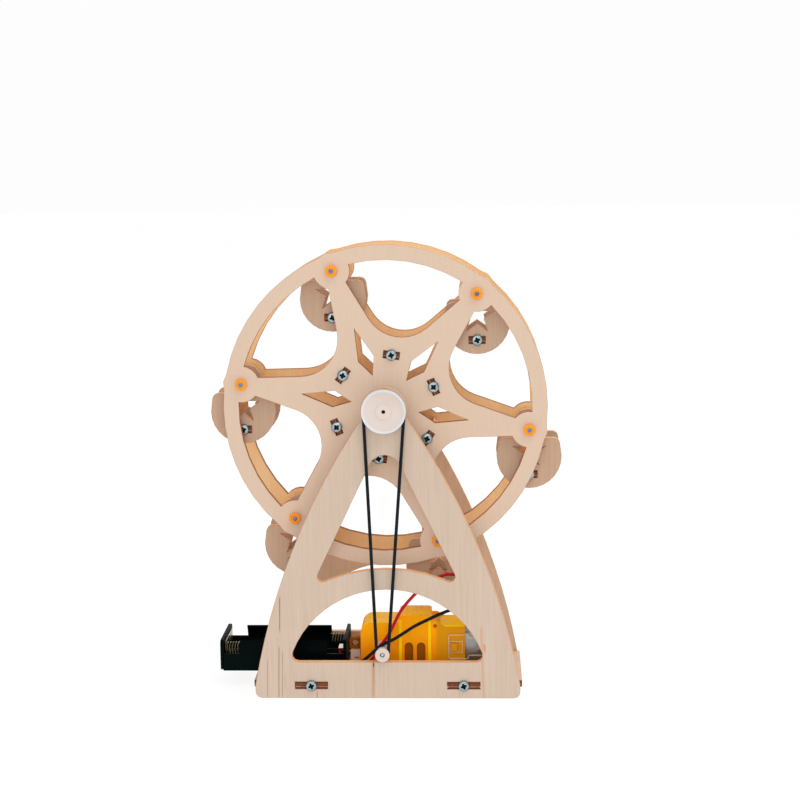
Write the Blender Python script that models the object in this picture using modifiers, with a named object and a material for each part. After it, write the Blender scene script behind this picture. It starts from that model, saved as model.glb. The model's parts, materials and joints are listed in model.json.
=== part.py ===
"""Model ferris wheel of laser-cut plywood, turned by a geared motor through a rubber belt.

Z is up and the viewer looks along +Y at the belt side. The origin is on the floor, under the
middle of the axle. A flat piece is drawn in its own x and y and lies at right angles to its z.
FRONT turns such a drawing to face the viewer: its y becomes world z, its z points at the viewer.
"""

import math

import bmesh
import bpy
from mathutils import Matrix, Vector

MM = 0.001
FRONT = Matrix.Rotation(math.radians(90), 4, "X")
ALONG_X = Matrix.Rotation(math.radians(90), 4, "Z") @ FRONT
HALF_TURN = Matrix.Rotation(math.radians(180), 4, "Z")
WELD = 0.01 * MM

# Sheet and fits
PLY = 3.0 * MM
FIT = 0.3 * MM

# Bolts and nuts
BOLT_DIAMETER = 2.5 * MM
BOLT_LENGTH = 8.0 * MM
HEAD_DIAMETER = 5.0 * MM
HEAD_HEIGHT = 1.3 * MM
HEAD_FLAT = 0.72
HEAD_EDGE = 0.45
NUT_WIDTH = 5.0 * MM
NUT_THICKNESS = 2.0 * MM
NUT_INSET = 5.6 * MM
BOLT_SIDES = 8

# Wheel
SWEEP_CLEARANCE = 3.4 * MM
AXLE_DIAMETER = 2.0 * MM
WHEEL_DEPTH = 32.0 * MM
RING_WIDTH = 7.0 * MM
PIVOT_RADIUS = 66.5 * MM
PIVOT_INSET = 7.5 * MM
PIVOT_BOSS = 8.3 * MM
SPOKES = 6
FIRST_SPOKE = -9.3
SPOKE_TIP_WIDTH = 8.4 * MM
SPOKE_FLARE = 0.197
VALLEY_RADIUS = 32.5 * MM
KITE_INNER = 15.5 * MM
KITE_OUTER = 38.7 * MM
KITE_WIDTH = 7.6 * MM
KITE_WIDE_AT = 23.7 * MM
SPACER_RADIUS = 24.0 * MM
SPACER_LEAD = 31.7
SPACER_WIDTH = 12.0 * MM
SPACER_SLOT = 7.6 * MM
SLEEVE_RADIUS = 3.0 * MM

# Gondola rods and caps
ROD_DIAMETER = 2.0 * MM
CAP_DIAMETER = 5.2 * MM
CAP_LENGTH = 2.0 * MM
ROD_TIP = 0.3 * MM

# Gondolas
GONDOLA_DEPTH = 22.0 * MM
GONDOLA_RADIUS = 14.9 * MM
GONDOLA_DROP = 13.2 * MM
GONDOLA_TOP_DROP = 4.7 * MM
GONDOLA_TOP_WIDTH = 27.7 * MM
GONDOLA_CORNER = 2.8 * MM
LUG_RADIUS = 6.0 * MM
STAR_DROP = 11.0 * MM
STAR_RADIUS = 8.2 * MM
STAR_INNER = 3.2 * MM
SEAT_DROP = 21.6 * MM
SEAT_SLOT = 7.8 * MM
SEAT_WIDTH = 19.0 * MM

# Frames and base board
FRAME_DEPTH = 54.0 * MM
APEX_RADIUS = 10.4 * MM
LEG_ARC_RADIUS = 320.0 * MM
LEG_TOP_X = 12.2 * MM
LEG_TOP_DROP = 6.8 * MM
FOOT_X = 61.0 * MM
FOOT_Z = 6.0 * MM
FOOT_CORNER = 3.0 * MM
WINDOW_TOP_RADIUS = 7.5 * MM
WINDOW_TOP_DROP = 27.8 * MM
WINDOW_FLARE = 0.482
WINDOW_SILL_Z = 61.0 * MM
WINDOW_SILL_RADIUS = 69.9 * MM
WINDOW_CORNER = 2.5 * MM
ARCH_RADIUS = 46.7 * MM
ARCH_CENTRE_Z = 4.7 * MM
ARCH_FLOOR_Z = 17.1 * MM
ARCH_CORNER = 3.0 * MM
BOARD_Z = 6.0 * MM
BOARD_HALF = 61.9 * MM
BOARD_BOLT_X = 35.1 * MM
BOARD_SLOT = 15.25 * MM

# Pulleys and belt
BELT_Y = -29.2 * MM
BELT_DIAMETER = 1.5 * MM
PULLEY_WIDTH = 3.7 * MM
PULLEY_RADIUS = 10.05 * MM
PULLEY_PITCH = 9.2 * MM
PULLEY_BOSS = 3.6 * MM
PULLEY_DISH = 0.5 * MM
PULLEY_RIM = 1.0 * MM
PULLEY_BEVEL = 0.2 * MM
AXLE_RECESS = 1.5 * MM
DRIVER_X = -2.0 * MM
DRIVER_Z = 21.5 * MM
DRIVER_RADIUS = 3.3 * MM
DRIVER_PITCH = 2.6 * MM
DRIVER_HUB = 2.15 * MM
DRIVER_HUB_BACK = -26.0 * MM
PIN_DIAMETER = 1.6 * MM

# Geared motor
MOTOR_Y = -7.0 * MM
GEARBOX_DEPTH = 18.8 * MM
GEARBOX_BOTTOM = 10.25 * MM
GEARBOX_TOP = 32.8 * MM
GEARBOX_LEFT = -12.8 * MM
GEARBOX_RIGHT = 35.7 * MM
GEARBOX_CORNER = 5.0 * MM
GEARBOX_WALL = 1.5 * MM
GEARBOX_EDGE = 1.0 * MM
TOWER_LEFT = 5.0 * MM
TOWER_RIGHT = 20.0 * MM
TOWER_TOP = 36.0 * MM
TOWER_CORNER = 1.2 * MM
TOWER_RIB = 1.4 * MM
TOWER_RIB_PROUD = 0.8 * MM
TOWER_RIB_DROP = 1.5 * MM
CRADLE_TOP = 31.0 * MM
CRADLE_START = 26.5 * MM
SHOULDER_TOP = 33.4 * MM
SHOULDER_RUN = 2.5 * MM
RECESS_DEPTH = 0.8 * MM
RECESS_WIDTH = 4.0 * MM
RECESS_TOP = 23.4 * MM
RECESS_CENTRES = (9.6 * MM, 15.3 * MM)
EAR_LEFT = -18.4 * MM
EAR_BOTTOM = 18.6 * MM
EAR_TOP = 23.7 * MM
EAR_THICKNESS = 2.6 * MM
EAR_HOLE = 3.0 * MM
EAR_RIM = 1.0 * MM
CATCH_LEFT = 29.4 * MM
CATCH_WIDTH = 2.6 * MM
CATCH_HEIGHT = 3.6 * MM
CATCH_PROUD = 1.5 * MM
SHAFT_DIAMETER = 5.4 * MM
COLLAR_RADIUS = 3.2 * MM
COLLAR_LENGTH = 0.8 * MM
PIN_PROUD = 1.0 * MM
GEAR_RADIUS = 8.3 * MM
GEAR_ROOT = 7.2 * MM
GEAR_TEETH = 18
GEAR_WIDTH = 3.0 * MM
TOOTH_ROOT = 0.30
TOOTH_TIP = 0.14
CAN_HEIGHT = 19.2 * MM
CAN_FLATS = 15.1 * MM
CAN_LEFT = 20.6 * MM
CAN_RIGHT = 50.6 * MM
CAN_BOSS = 2.6 * MM
END_CAP_LENGTH = 2.8 * MM
END_CAP_INSET = 0.6 * MM
TERMINAL_WIDTH = 2.0 * MM
TERMINAL_THICKNESS = 0.5 * MM
TERMINAL_REACH = 2.2 * MM
TERMINAL_ROOT = 1.0 * MM
STRAP_THICKNESS = 0.8 * MM
STRAP_BAND = 8.2 * MM
STRAP_WIDE = 11.6 * MM
STRAP_LEFT = 28.1 * MM
STRAP_STEP = 37.4 * MM
STRAP_CORNER = 1.0 * MM
STRAP_HOLE_LEFT = 28.9 * MM
STRAP_HOLE_RIGHT = 34.4 * MM
STRAP_HOLE_HEIGHT = 5.0 * MM
TAPE_MARGIN = 1.5 * MM
BLOCK_LEFT = -17.95 * MM
BLOCK_RIGHT = -13.4 * MM
BLOCK_DEPTH = 4.4 * MM
BLOCK_CORNER = 1.4 * MM
BLOCK_SLOT_LEFT = -16.0 * MM
BLOCK_SLOT_LENGTH = 1.95 * MM
BLOCK_SLOT_HEIGHT = 0.7 * MM
BLOCK_SLOT_Z = 13.9 * MM

# Battery holder for two AA cells
CELL_RADIUS = 7.2 * MM
CELL_PITCH = 14.8 * MM
HOLDER_Y = 5.2 * MM
HOLDER_LEFT = -79.5 * MM
HOLDER_RIGHT = -20.0 * MM
HOLDER_WALL = 1.0 * MM
HOLDER_END = 1.5 * MM
HOLDER_HEIGHT = 14.6 * MM
HOLDER_LIP_ANGLE = 46.0
HOLDER_CORNER = 2.0 * MM
NOTCH_LENGTH = 7.7 * MM
NOTCH_FLOOR = 16.0 * MM
CONTACT_THICKNESS = 0.4 * MM
CONTACT_WIDTH = 7.0 * MM
CONTACT_HEIGHT = 9.0 * MM
LUG_LENGTH = 1.9 * MM
TAIL_WIDTH = 1.9 * MM
TAIL_HEIGHT = 1.6 * MM
BRIDGE_RISE = 1.0 * MM

# Contact springs
SPRING_CURLS = 5
SPRING_PITCH = 1.25 * MM
SPRING_RADIUS = 3.2 * MM
SPRING_WIRE = 0.6 * MM
SPRING_POINTS = 9

# Leads
LEAD_DIAMETER = 1.5 * MM
RED_LEAD_X = -23.4 * MM
BLACK_LEAD_X = -19.0 * MM
BLACK_LEAD_START_Y = 7.5 * MM
BLACK_LEAD_Z = 11.0 * MM
RED_LEAD_TOP = 16.8 * MM
LEAD_EXIT_Z = 10.9 * MM
LEAD_SPACING = 2.9 * MM

# Values that follow from the sizes above
HOLE_RADIUS = AXLE_DIAMETER / 2 + FIT
ROD_HOLE = ROD_DIAMETER / 2 + FIT
BOLT_HOLE = BOLT_DIAMETER / 2 + FIT
SLOT_HEIGHT = PLY + 2 * FIT
WHEEL_RADIUS = PIVOT_RADIUS + PIVOT_INSET
RING_INNER = WHEEL_RADIUS - RING_WIDTH
WHEEL_FACE = WHEEL_DEPTH / 2
FRAME_FACE = FRAME_DEPTH / 2
# The gondolas swing clear of the gearbox's tower even when they point straight down
AXLE_HEIGHT = TOWER_TOP + SWEEP_CLEARANCE + PIVOT_RADIUS + GONDOLA_DROP + GONDOLA_RADIUS
LEG_TOP_Z = AXLE_HEIGHT - LEG_TOP_DROP
WINDOW_TOP_Z = AXLE_HEIGHT - WINDOW_TOP_DROP
BOARD_TOP = BOARD_Z + PLY / 2
PULLEY_BACK = FRAME_FACE + FIT
GEARBOX_FACE = GEARBOX_DEPTH / 2
FRONT_FACE_Y = MOTOR_Y - GEARBOX_FACE
CELL_Z = BOARD_TOP + FIT + HOLDER_WALL + CELL_RADIUS
HOLDER_HALF = CELL_PITCH / 2 + CELL_RADIUS + HOLDER_WALL
HOLDER_TOP = BOARD_TOP + FIT + HOLDER_HEIGHT

# Finishes as colour, roughness and metallic value
WOOD = ((0.71, 0.53, 0.38), 0.75, 0.0)
ZINC = ((0.72, 0.72, 0.70), 0.35, 1.0)
STEEL = ((0.60, 0.60, 0.60), 0.30, 1.0)
BRASS = ((0.78, 0.70, 0.45), 0.35, 1.0)
WHITE = ((0.85, 0.82, 0.78), 0.40, 0.0)
ORANGE = ((1.00, 0.36, 0.02), 0.40, 0.0)
YELLOW = ((0.95, 0.42, 0.01), 0.35, 0.0)
BLACK = ((0.01, 0.015, 0.015), 0.40, 0.0)
RED = ((0.55, 0.01, 0.03), 0.45, 0.0)
CLEAR = ((0.70, 0.66, 0.58), 0.15, 0.0)
FOAM = ((0.80, 0.80, 0.76), 0.90, 0.0)

for leftover in list(bpy.data.objects):
    bpy.data.objects.remove(leftover)
parts = bpy.data.collections.new("ferris_wheel")
cutters = bpy.data.collections.new("cutters")
bpy.context.scene.collection.children.link(parts)
bpy.context.scene.collection.children.link(cutters)


# Drawing helpers: points are (x, y) pairs

def polar(radius, degrees):
    angle = math.radians(degrees)
    return (radius * math.cos(angle), radius * math.sin(angle))


def arc(centre, radius, start, end, steps):
    turn = (end - start) / steps
    points = [polar(radius, start + turn * step) for step in range(steps + 1)]
    return shifted(points, *centre)


def circle(centre, radius, sides):
    return arc(centre, radius, 0, 360 - 360 / sides, sides - 1)


def shifted(points, dx, dy):
    return [(x + dx, y + dy) for x, y in points]


def turned_points(points, degrees):
    angle = math.radians(degrees)
    c, s = math.cos(angle), math.sin(angle)
    return [(x * c - y * s, x * s + y * c) for x, y in points]


def mirrored(points):
    return [(-x, y) for x, y in reversed(points)]


def box(left, right, bottom, top):
    return [(left, bottom), (right, bottom), (right, top), (left, top)]


def rounded(corners, steps=3):
    """Replace each (x, y, radius) corner by an arc of that radius."""
    points = []
    for index, (x, y, radius) in enumerate(corners):
        if radius == 0:
            points.append((x, y))
            continue
        here = Vector((x, y))
        before = (Vector(corners[index - 1][:2]) - here).normalized()
        after = (Vector(corners[(index + 1) % len(corners)][:2]) - here).normalized()
        half = before.angle(after) / 2
        centre = here + (before + after).normalized() * radius / math.sin(half)
        start = here + before * radius / math.tan(half) - centre
        end = here + after * radius / math.tan(half) - centre
        for step in range(steps + 1):
            share = step / steps
            ray = start.slerp(end, share)
            points.append(tuple(centre + ray.normalized() * radius))
    return points


def circle_crossing(centre, radius, other, other_radius):
    """The crossing of two circles that lies further right."""
    gap = Vector(other) - Vector(centre)
    along = (radius ** 2 - other_radius ** 2 + gap.length ** 2) / (2 * gap.length)
    aside = math.sqrt(radius ** 2 - along ** 2)
    direction = gap.normalized()
    middle = Vector(centre) + direction * along
    normal = Vector((-direction.y, direction.x))
    return max((middle + normal * aside, middle - normal * aside), key=lambda point: point.x)


def heading(point, centre):
    return math.degrees(math.atan2(point[1] - centre[1], point[0] - centre[0]))


# Modelling helpers

def baked(source):
    """Mesh data of an evaluated object, its loose caps welded. The object is removed."""
    graph = bpy.context.evaluated_depsgraph_get()
    mesh = bpy.data.meshes.new_from_object(source.evaluated_get(graph))
    shape = bmesh.new()
    shape.from_mesh(mesh)
    bmesh.ops.remove_doubles(shape, verts=shape.verts, dist=WELD)
    shape.to_mesh(mesh)
    shape.free()
    bpy.data.objects.remove(source)
    return mesh


def sheet(outline, holes, thickness):
    """A flat plate with holes, its mid-plane at z = 0."""
    curve = bpy.data.curves.new("sheet", "CURVE")
    curve.dimensions = "2D"
    curve.fill_mode = "BOTH"
    curve.extrude = thickness / 2
    for loop in [outline] + holes:
        spline = curve.splines.new("POLY")
        spline.points.add(len(loop) - 1)
        for point, (x, y) in zip(spline.points, loop):
            point.co = (x, y, 0, 1)
        spline.use_cyclic_u = True
    source = bpy.data.objects.new("sheet", curve)
    parts.objects.link(source)
    return baked(source)


def lathe(profile, steps, closed=False):
    """Turn an (x, z) profile about z. Its outer side runs from top to bottom."""
    mesh = bpy.data.meshes.new("lathe")
    count = len(profile)
    edges = [(index, index + 1) for index in range(count - 1)]
    if closed:
        edges.append((count - 1, 0))
    mesh.from_pydata([(x, 0, z) for x, z in profile], edges, [])
    source = bpy.data.objects.new("lathe", mesh)
    parts.objects.link(source)
    screw = source.modifiers.new("turn", "SCREW")
    screw.axis = "Z"
    screw.steps = steps
    screw.render_steps = steps
    screw.use_merge_vertices = True
    screw.merge_threshold = 0.05 * MM
    return baked(source)


def rod(radius, bottom, top, steps):
    return lathe([(0, top), (radius, top), (radius, bottom), (0, bottom)], steps)


def tube(route, diameter, sides_level, cyclic=False):
    """A round wire through the points of a route."""
    curve = bpy.data.curves.new("tube", "CURVE")
    curve.dimensions = "3D"
    curve.bevel_depth = diameter / 2
    curve.bevel_resolution = sides_level
    curve.use_fill_caps = not cyclic
    spline = curve.splines.new("POLY")
    spline.points.add(len(route) - 1)
    for point, place in zip(spline.points, route):
        point.co = (*place, 1)
    spline.use_cyclic_u = cyclic
    source = bpy.data.objects.new("tube", curve)
    parts.objects.link(source)
    return baked(source)


def brick(low, high):
    """A box between two corners."""
    bpy.ops.mesh.primitive_cube_add(size=1)
    source = bpy.context.active_object
    mesh = baked(source)
    size = Vector(high) - Vector(low)
    middle = (Vector(high) + Vector(low)) / 2
    mesh.transform(Matrix.Translation(middle) @ Matrix.Diagonal((*size, 1)))
    return mesh


def at(x, y, z):
    return Matrix.Translation((x, y, z))


def add(name, mesh, finish, parent=None, matrix=Matrix()):
    """A named sub-part with its own material."""
    colour, roughness, metallic = finish
    material = bpy.data.materials.new(name + "_finish")
    material.use_nodes = True
    shader = material.node_tree.nodes["Principled BSDF"]
    shader.inputs["Base Color"].default_value = (*colour, 1)
    shader.inputs["Roughness"].default_value = roughness
    shader.inputs["Metallic"].default_value = metallic
    mesh.name = name
    mesh.shade_smooth()
    mesh.set_sharp_from_angle(angle=math.radians(32))
    piece = bpy.data.objects.new(name, mesh)
    if not mesh.materials:
        mesh.materials.append(material)
    piece.material_slots[0].link = "OBJECT"
    piece.material_slots[0].material = material
    piece.parent = parent
    piece.matrix_local = matrix
    parts.objects.link(piece)
    return piece


def shape_with(piece, mesh, operation, matrix=Matrix()):
    """Cut a mesh from a piece, or join it to the piece."""
    tool = bpy.data.objects.new(piece.name + "_tool", mesh)
    tool.matrix_world = matrix
    tool.hide_render = True
    tool.display_type = "WIRE"
    cutters.objects.link(tool)
    modifier = piece.modifiers.new("shape", "BOOLEAN")
    modifier.operation = operation
    modifier.solver = "EXACT"
    modifier.object = tool


def pivot(name, x, z, parent=None):
    """An empty on a joint's axis."""
    empty = bpy.data.objects.new(name, None)
    empty.empty_display_size = 10 * MM
    empty.location = (x, 0, z)
    empty.parent = parent
    parts.objects.link(empty)
    return empty


# Fasteners

def bolt_mesh():
    head, shank = HEAD_DIAMETER / 2, BOLT_DIAMETER / 2
    profile = [
        (0, HEAD_HEIGHT),
        (head * HEAD_FLAT, HEAD_HEIGHT),
        (head, HEAD_HEIGHT * HEAD_EDGE),
        (head, 0),
        (shank, 0),
        (shank, -BOLT_LENGTH),
        (0, -BOLT_LENGTH),
    ]
    return lathe(profile, BOLT_SIDES)


def nut_mesh():
    corner = NUT_WIDTH / 2 / math.cos(math.radians(30))
    return sheet(turned_points(circle((0, 0), corner, 6), 30), [], NUT_THICKNESS)


def bolt_edge(middle, slot_length, shoulder, tip):
    """Edge of a cross plate: two tabs, and between them the bolt channel and nut pocket."""
    half = slot_length / 2 - FIT
    pocket = NUT_WIDTH / 2 + FIT
    nut_out = tip - NUT_INSET + NUT_THICKNESS / 2 + FIT
    nut_in = tip - NUT_INSET - NUT_THICKNESS / 2 - FIT
    channel_end = tip - BOLT_LENGTH
    right = [
        (BOLT_HOLE, channel_end),
        (BOLT_HOLE, nut_in),
        (pocket, nut_in),
        (pocket, nut_out),
        (BOLT_HOLE, nut_out),
        (BOLT_HOLE, tip),
        (half, tip),
        (half, shoulder),
    ]
    return shifted(mirrored(right) + right, middle, 0)


def cross_plate(half_width, bolts, slot_length, face):
    """Outline of a plate that spans two upright plates whose outer faces lie at +-face."""
    shoulder = face - PLY - FIT
    top = [(-half_width, shoulder)]
    for middle in bolts:
        top += bolt_edge(middle, slot_length, shoulder, face)
    top.append((half_width, shoulder))
    bottom = [(-x, -y) for x, y in top]
    return top + bottom


# Wheel

wheel_axis = pivot("wheel_axis", 0, AXLE_HEIGHT)


def spoke_half(radius):
    tip_at = PIVOT_RADIUS - PIVOT_BOSS
    return SPOKE_TIP_WIDTH / 2 + (tip_at - radius) * SPOKE_FLARE


def half_window(step):
    """One side of the window beside a spoke that points along +x, from ring to valley."""
    spread = 180 / SPOKES
    flare = math.degrees(math.atan(SPOKE_FLARE))
    ring_point = circle_crossing((0, 0), RING_INNER, (PIVOT_RADIUS, 0), PIVOT_BOSS)
    ring_point = (ring_point.x, abs(ring_point.y))
    start = heading(ring_point, (PIVOT_RADIUS, 0))
    end = 180 - math.degrees(math.asin(spoke_half(PIVOT_RADIUS - PIVOT_BOSS) / PIVOT_BOSS))
    boss = arc((PIVOT_RADIUS, 0), PIVOT_BOSS, start, end, 4)
    foot = spoke_half(0) / (math.tan(math.radians(spread)) + SPOKE_FLARE)
    corner = foot / math.cos(math.radians(spread))
    opening = math.radians(spread + flare)
    fillet = (VALLEY_RADIUS - corner) / (1 / math.sin(opening) - 1)
    centre = polar(corner + fillet / math.sin(opening), spread)
    valley = arc(centre, fillet, 270 - flare, 180 + spread, step)
    return boss + valley


def wheel_window(index):
    side = half_window(5)
    spread = 180 / SPOKES
    other = turned_points([(x, -y) for x, y in reversed(side)], 2 * spread)
    ring_start = heading(side[0], (0, 0))
    top = arc((0, 0), RING_INNER, 2 * spread - ring_start, ring_start, 6)
    outline = side + other[1:-1] + top[:-1]
    return turned_points(outline, FIRST_SPOKE + 2 * spread * index)


def wheel_rim():
    boss_edge = circle_crossing((0, 0), WHEEL_RADIUS, (PIVOT_RADIUS, 0), PIVOT_BOSS)
    inset = abs(heading(boss_edge, (0, 0)))
    swing = abs(heading((boss_edge.x, abs(boss_edge.y)), (PIVOT_RADIUS, 0)))
    share = 360 / SPOKES
    points = []
    for index in range(SPOKES):
        hump = arc((PIVOT_RADIUS, 0), PIVOT_BOSS, -swing, swing, 2)
        run = arc((0, 0), WHEEL_RADIUS, inset, share - inset, 8)
        points += turned_points(hump + run[1:-1], FIRST_SPOKE + share * index)
    return points


def wheel_plate():
    share = 360 / SPOKES
    holes = [circle((0, 0), HOLE_RADIUS, 8)]
    kite = [
        (KITE_INNER, 0),
        (KITE_WIDE_AT, -KITE_WIDTH / 2),
        (KITE_OUTER, 0),
        (KITE_WIDE_AT, KITE_WIDTH / 2),
    ]
    slot = box(-SLOT_HEIGHT / 2, SLOT_HEIGHT / 2, -SPACER_SLOT / 2, SPACER_SLOT / 2)
    for index in range(SPOKES):
        angle = FIRST_SPOKE + share * index
        holes.append(wheel_window(index))
        holes.append(turned_points(kite, angle))
        holes.append(circle(polar(PIVOT_RADIUS, angle), ROD_HOLE, 8))
        holes.append(turned_points(shifted(slot, SPACER_RADIUS, 0), angle + SPACER_LEAD))
    return sheet(wheel_rim(), holes, PLY)


def build_wheel():
    plate = wheel_plate()
    plate_y = WHEEL_FACE - PLY / 2
    add("wheel_front", plate, WOOD, wheel_axis, at(0, -plate_y, 0) @ FRONT)
    add("wheel_back", plate.copy(), WOOD, wheel_axis, at(0, plate_y, 0) @ FRONT)
    spacer = sheet(cross_plate(SPACER_WIDTH / 2, [0], SPACER_SLOT, WHEEL_FACE), [], PLY)
    for index in range(SPOKES):
        angle = FIRST_SPOKE + SPACER_LEAD + 360 / SPOKES * index
        x, z = polar(SPACER_RADIUS, angle)
        turn = Matrix.Rotation(math.radians(-90 - angle), 4, "Y")
        add(f"hub_spacer_{index + 1}", spacer.copy(), WOOD, wheel_axis, at(x, 0, z) @ turn)


def build_rods():
    """Six steel rods, each with the cap that is pushed onto either end."""
    rod_radius, cap_radius = ROD_DIAMETER / 2, CAP_DIAMETER / 2
    cap_in = WHEEL_FACE + FIT
    cap_out = cap_in + CAP_LENGTH
    tip = cap_out + ROD_TIP
    upper = [(0, tip), (rod_radius, tip), (rod_radius, cap_out), (cap_radius, cap_out)]
    upper += [(cap_radius, cap_in), (rod_radius, cap_in)]
    one_rod = lathe(upper + [(x, -z) for x, z in reversed(upper)], 10)
    for index in range(SPOKES):
        x, z = polar(PIVOT_RADIUS, FIRST_SPOKE + 360 / SPOKES * index)
        add(f"gondola_rod_{index + 1}", one_rod.copy(), ORANGE, wheel_axis, at(x, 0, z) @ FRONT)


def build_axle():
    """A steel rod with two spacing sleeves and the rear collar pressed onto it."""
    radius = AXLE_DIAMETER / 2
    front_end = PULLEY_BACK + PULLEY_WIDTH - AXLE_RECESS
    collar_end = -PULLEY_BACK - PULLEY_WIDTH
    sleeve_out, sleeve_in = FRAME_FACE - PLY - FIT, WHEEL_FACE + FIT
    profile = [
        (0, front_end),
        (radius, front_end),
        (radius, sleeve_out),
        (SLEEVE_RADIUS, sleeve_out),
        (SLEEVE_RADIUS, sleeve_in),
        (radius, sleeve_in),
        (radius, -sleeve_in),
        (SLEEVE_RADIUS, -sleeve_in),
        (SLEEVE_RADIUS, -sleeve_out),
        (radius, -sleeve_out),
        (radius, -PULLEY_BACK),
        (PULLEY_BOSS, -PULLEY_BACK),
        (PULLEY_BOSS, collar_end),
        (0, collar_end),
    ]
    add("axle", lathe(profile, 14), STEEL, wheel_axis, FRONT)


def build_pulleys():
    groove_half = BELT_DIAMETER / 2 + FIT
    middle = -BELT_Y - PULLEY_BACK
    groove = PULLEY_PITCH - BELT_DIAMETER / 2 - FIT
    dish = PULLEY_WIDTH - PULLEY_DISH
    profile = [
        (HOLE_RADIUS, PULLEY_WIDTH),
        (PULLEY_BOSS, PULLEY_WIDTH),
        (PULLEY_BOSS, dish),
        (PULLEY_RADIUS - PULLEY_RIM, dish),
        (PULLEY_RADIUS - PULLEY_RIM + PULLEY_BEVEL, PULLEY_WIDTH),
        (PULLEY_RADIUS, PULLEY_WIDTH),
        (PULLEY_RADIUS, middle + groove_half),
        (groove, middle + groove_half),
        (groove, middle - groove_half),
        (PULLEY_RADIUS, middle - groove_half),
        (PULLEY_RADIUS, 0),
        (HOLE_RADIUS, 0),
    ]
    pulley = lathe(profile, 32, closed=True)
    add("drive_pulley", pulley, WHITE, wheel_axis, at(0, -PULLEY_BACK, 0) @ FRONT)


def tangent_loop(top, top_radius, bottom, bottom_radius, top_steps, bottom_steps):
    """A belt line round two circles in the (x, z) plane."""
    gap = Vector(top) - Vector(bottom)
    lean = math.degrees(math.asin((top_radius - bottom_radius) / gap.length))
    up = math.degrees(math.atan2(gap.y, gap.x))
    over = arc(top, top_radius, up - 90 - lean, up + 90 + lean, top_steps)
    under = arc(bottom, bottom_radius, up + 90 + lean, up + 270 - lean, bottom_steps)
    return over + under


def build_belt():
    line = tangent_loop((0, AXLE_HEIGHT), PULLEY_PITCH, (DRIVER_X, DRIVER_Z), DRIVER_PITCH, 16, 8)
    route = [(x, BELT_Y, z) for x, z in line]
    add("drive_belt", tube(route, BELT_DIAMETER, 2, cyclic=True), BLACK)


# Gondolas

def gondola_plate():
    top = -GONDOLA_TOP_DROP
    bowl = arc((0, -GONDOLA_DROP), GONDOLA_RADIUS, 180, 360, 14)
    lug_edge = math.degrees(math.asin(GONDOLA_TOP_DROP / LUG_RADIUS))
    lug = arc((0, 0), LUG_RADIUS, -lug_edge, 180 + lug_edge, 8)
    corners = [(x, y, 0) for x, y in bowl]
    corners.append((GONDOLA_TOP_WIDTH / 2, top, GONDOLA_CORNER))
    corners += [(x, y, 0) for x, y in lug]
    corners.append((-GONDOLA_TOP_WIDTH / 2, top, GONDOLA_CORNER))
    star = []
    for index in range(5):
        star.append(polar(STAR_RADIUS, 90 + 72 * index))
        star.append(polar(STAR_INNER, 126 + 72 * index))
    slot = box(-SEAT_SLOT / 2, SEAT_SLOT / 2, -SLOT_HEIGHT / 2, SLOT_HEIGHT / 2)
    holes = [
        shifted(star, 0, -STAR_DROP),
        shifted(slot, 0, -SEAT_DROP),
        circle((0, 0), ROD_HOLE, 6),
    ]
    return sheet(rounded(corners), holes, PLY)


def build_gondolas():
    plate = gondola_plate()
    face = GONDOLA_DEPTH / 2
    plate_y = face - PLY / 2
    seat = sheet(cross_plate(SEAT_WIDTH / 2, [0], SEAT_SLOT, face), [], PLY)
    for index in range(SPOKES):
        x, z = polar(PIVOT_RADIUS, FIRST_SPOKE + 360 / SPOKES * index)
        name = f"gondola_{index + 1}"
        axis = pivot(name + "_axis", x, z, wheel_axis)
        add(name + "_front", plate.copy(), WOOD, axis, at(0, -plate_y, 0) @ FRONT)
        add(name + "_back", plate.copy(), WOOD, axis, at(0, plate_y, 0) @ FRONT)
        add(name + "_seat", seat.copy(), WOOD, axis, at(0, 0, -SEAT_DROP))


# Frames and board

def frame_outline():
    axle = (0, AXLE_HEIGHT)
    top, foot = Vector((LEG_TOP_X, LEG_TOP_Z)), Vector((FOOT_X, FOOT_Z))
    chord = foot - top
    middle = (top + foot) / 2
    inward = Vector((chord.y, -chord.x)).normalized()
    reach = math.sqrt(LEG_ARC_RADIUS ** 2 - (chord.length / 2) ** 2)
    centre = tuple(middle + inward * reach)
    neck = circle_crossing(axle, APEX_RADIUS, centre, LEG_ARC_RADIUS)
    leg = arc(centre, LEG_ARC_RADIUS, heading(foot, centre), heading(neck, centre), 12)
    neck_angle = heading(neck, axle)
    apex = arc(axle, APEX_RADIUS, neck_angle, 180 - neck_angle, 16)
    left_leg = [(x, y, 0) for x, y in mirrored(leg)]
    right_leg = [(x, y, 0) for x, y in leg]
    corners = [(-FOOT_X, 0, FOOT_CORNER), (FOOT_X, 0, FOOT_CORNER)] + right_leg
    corners += [(x, y, 0) for x, y in apex[1:-1]] + left_leg
    return rounded(corners)


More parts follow.
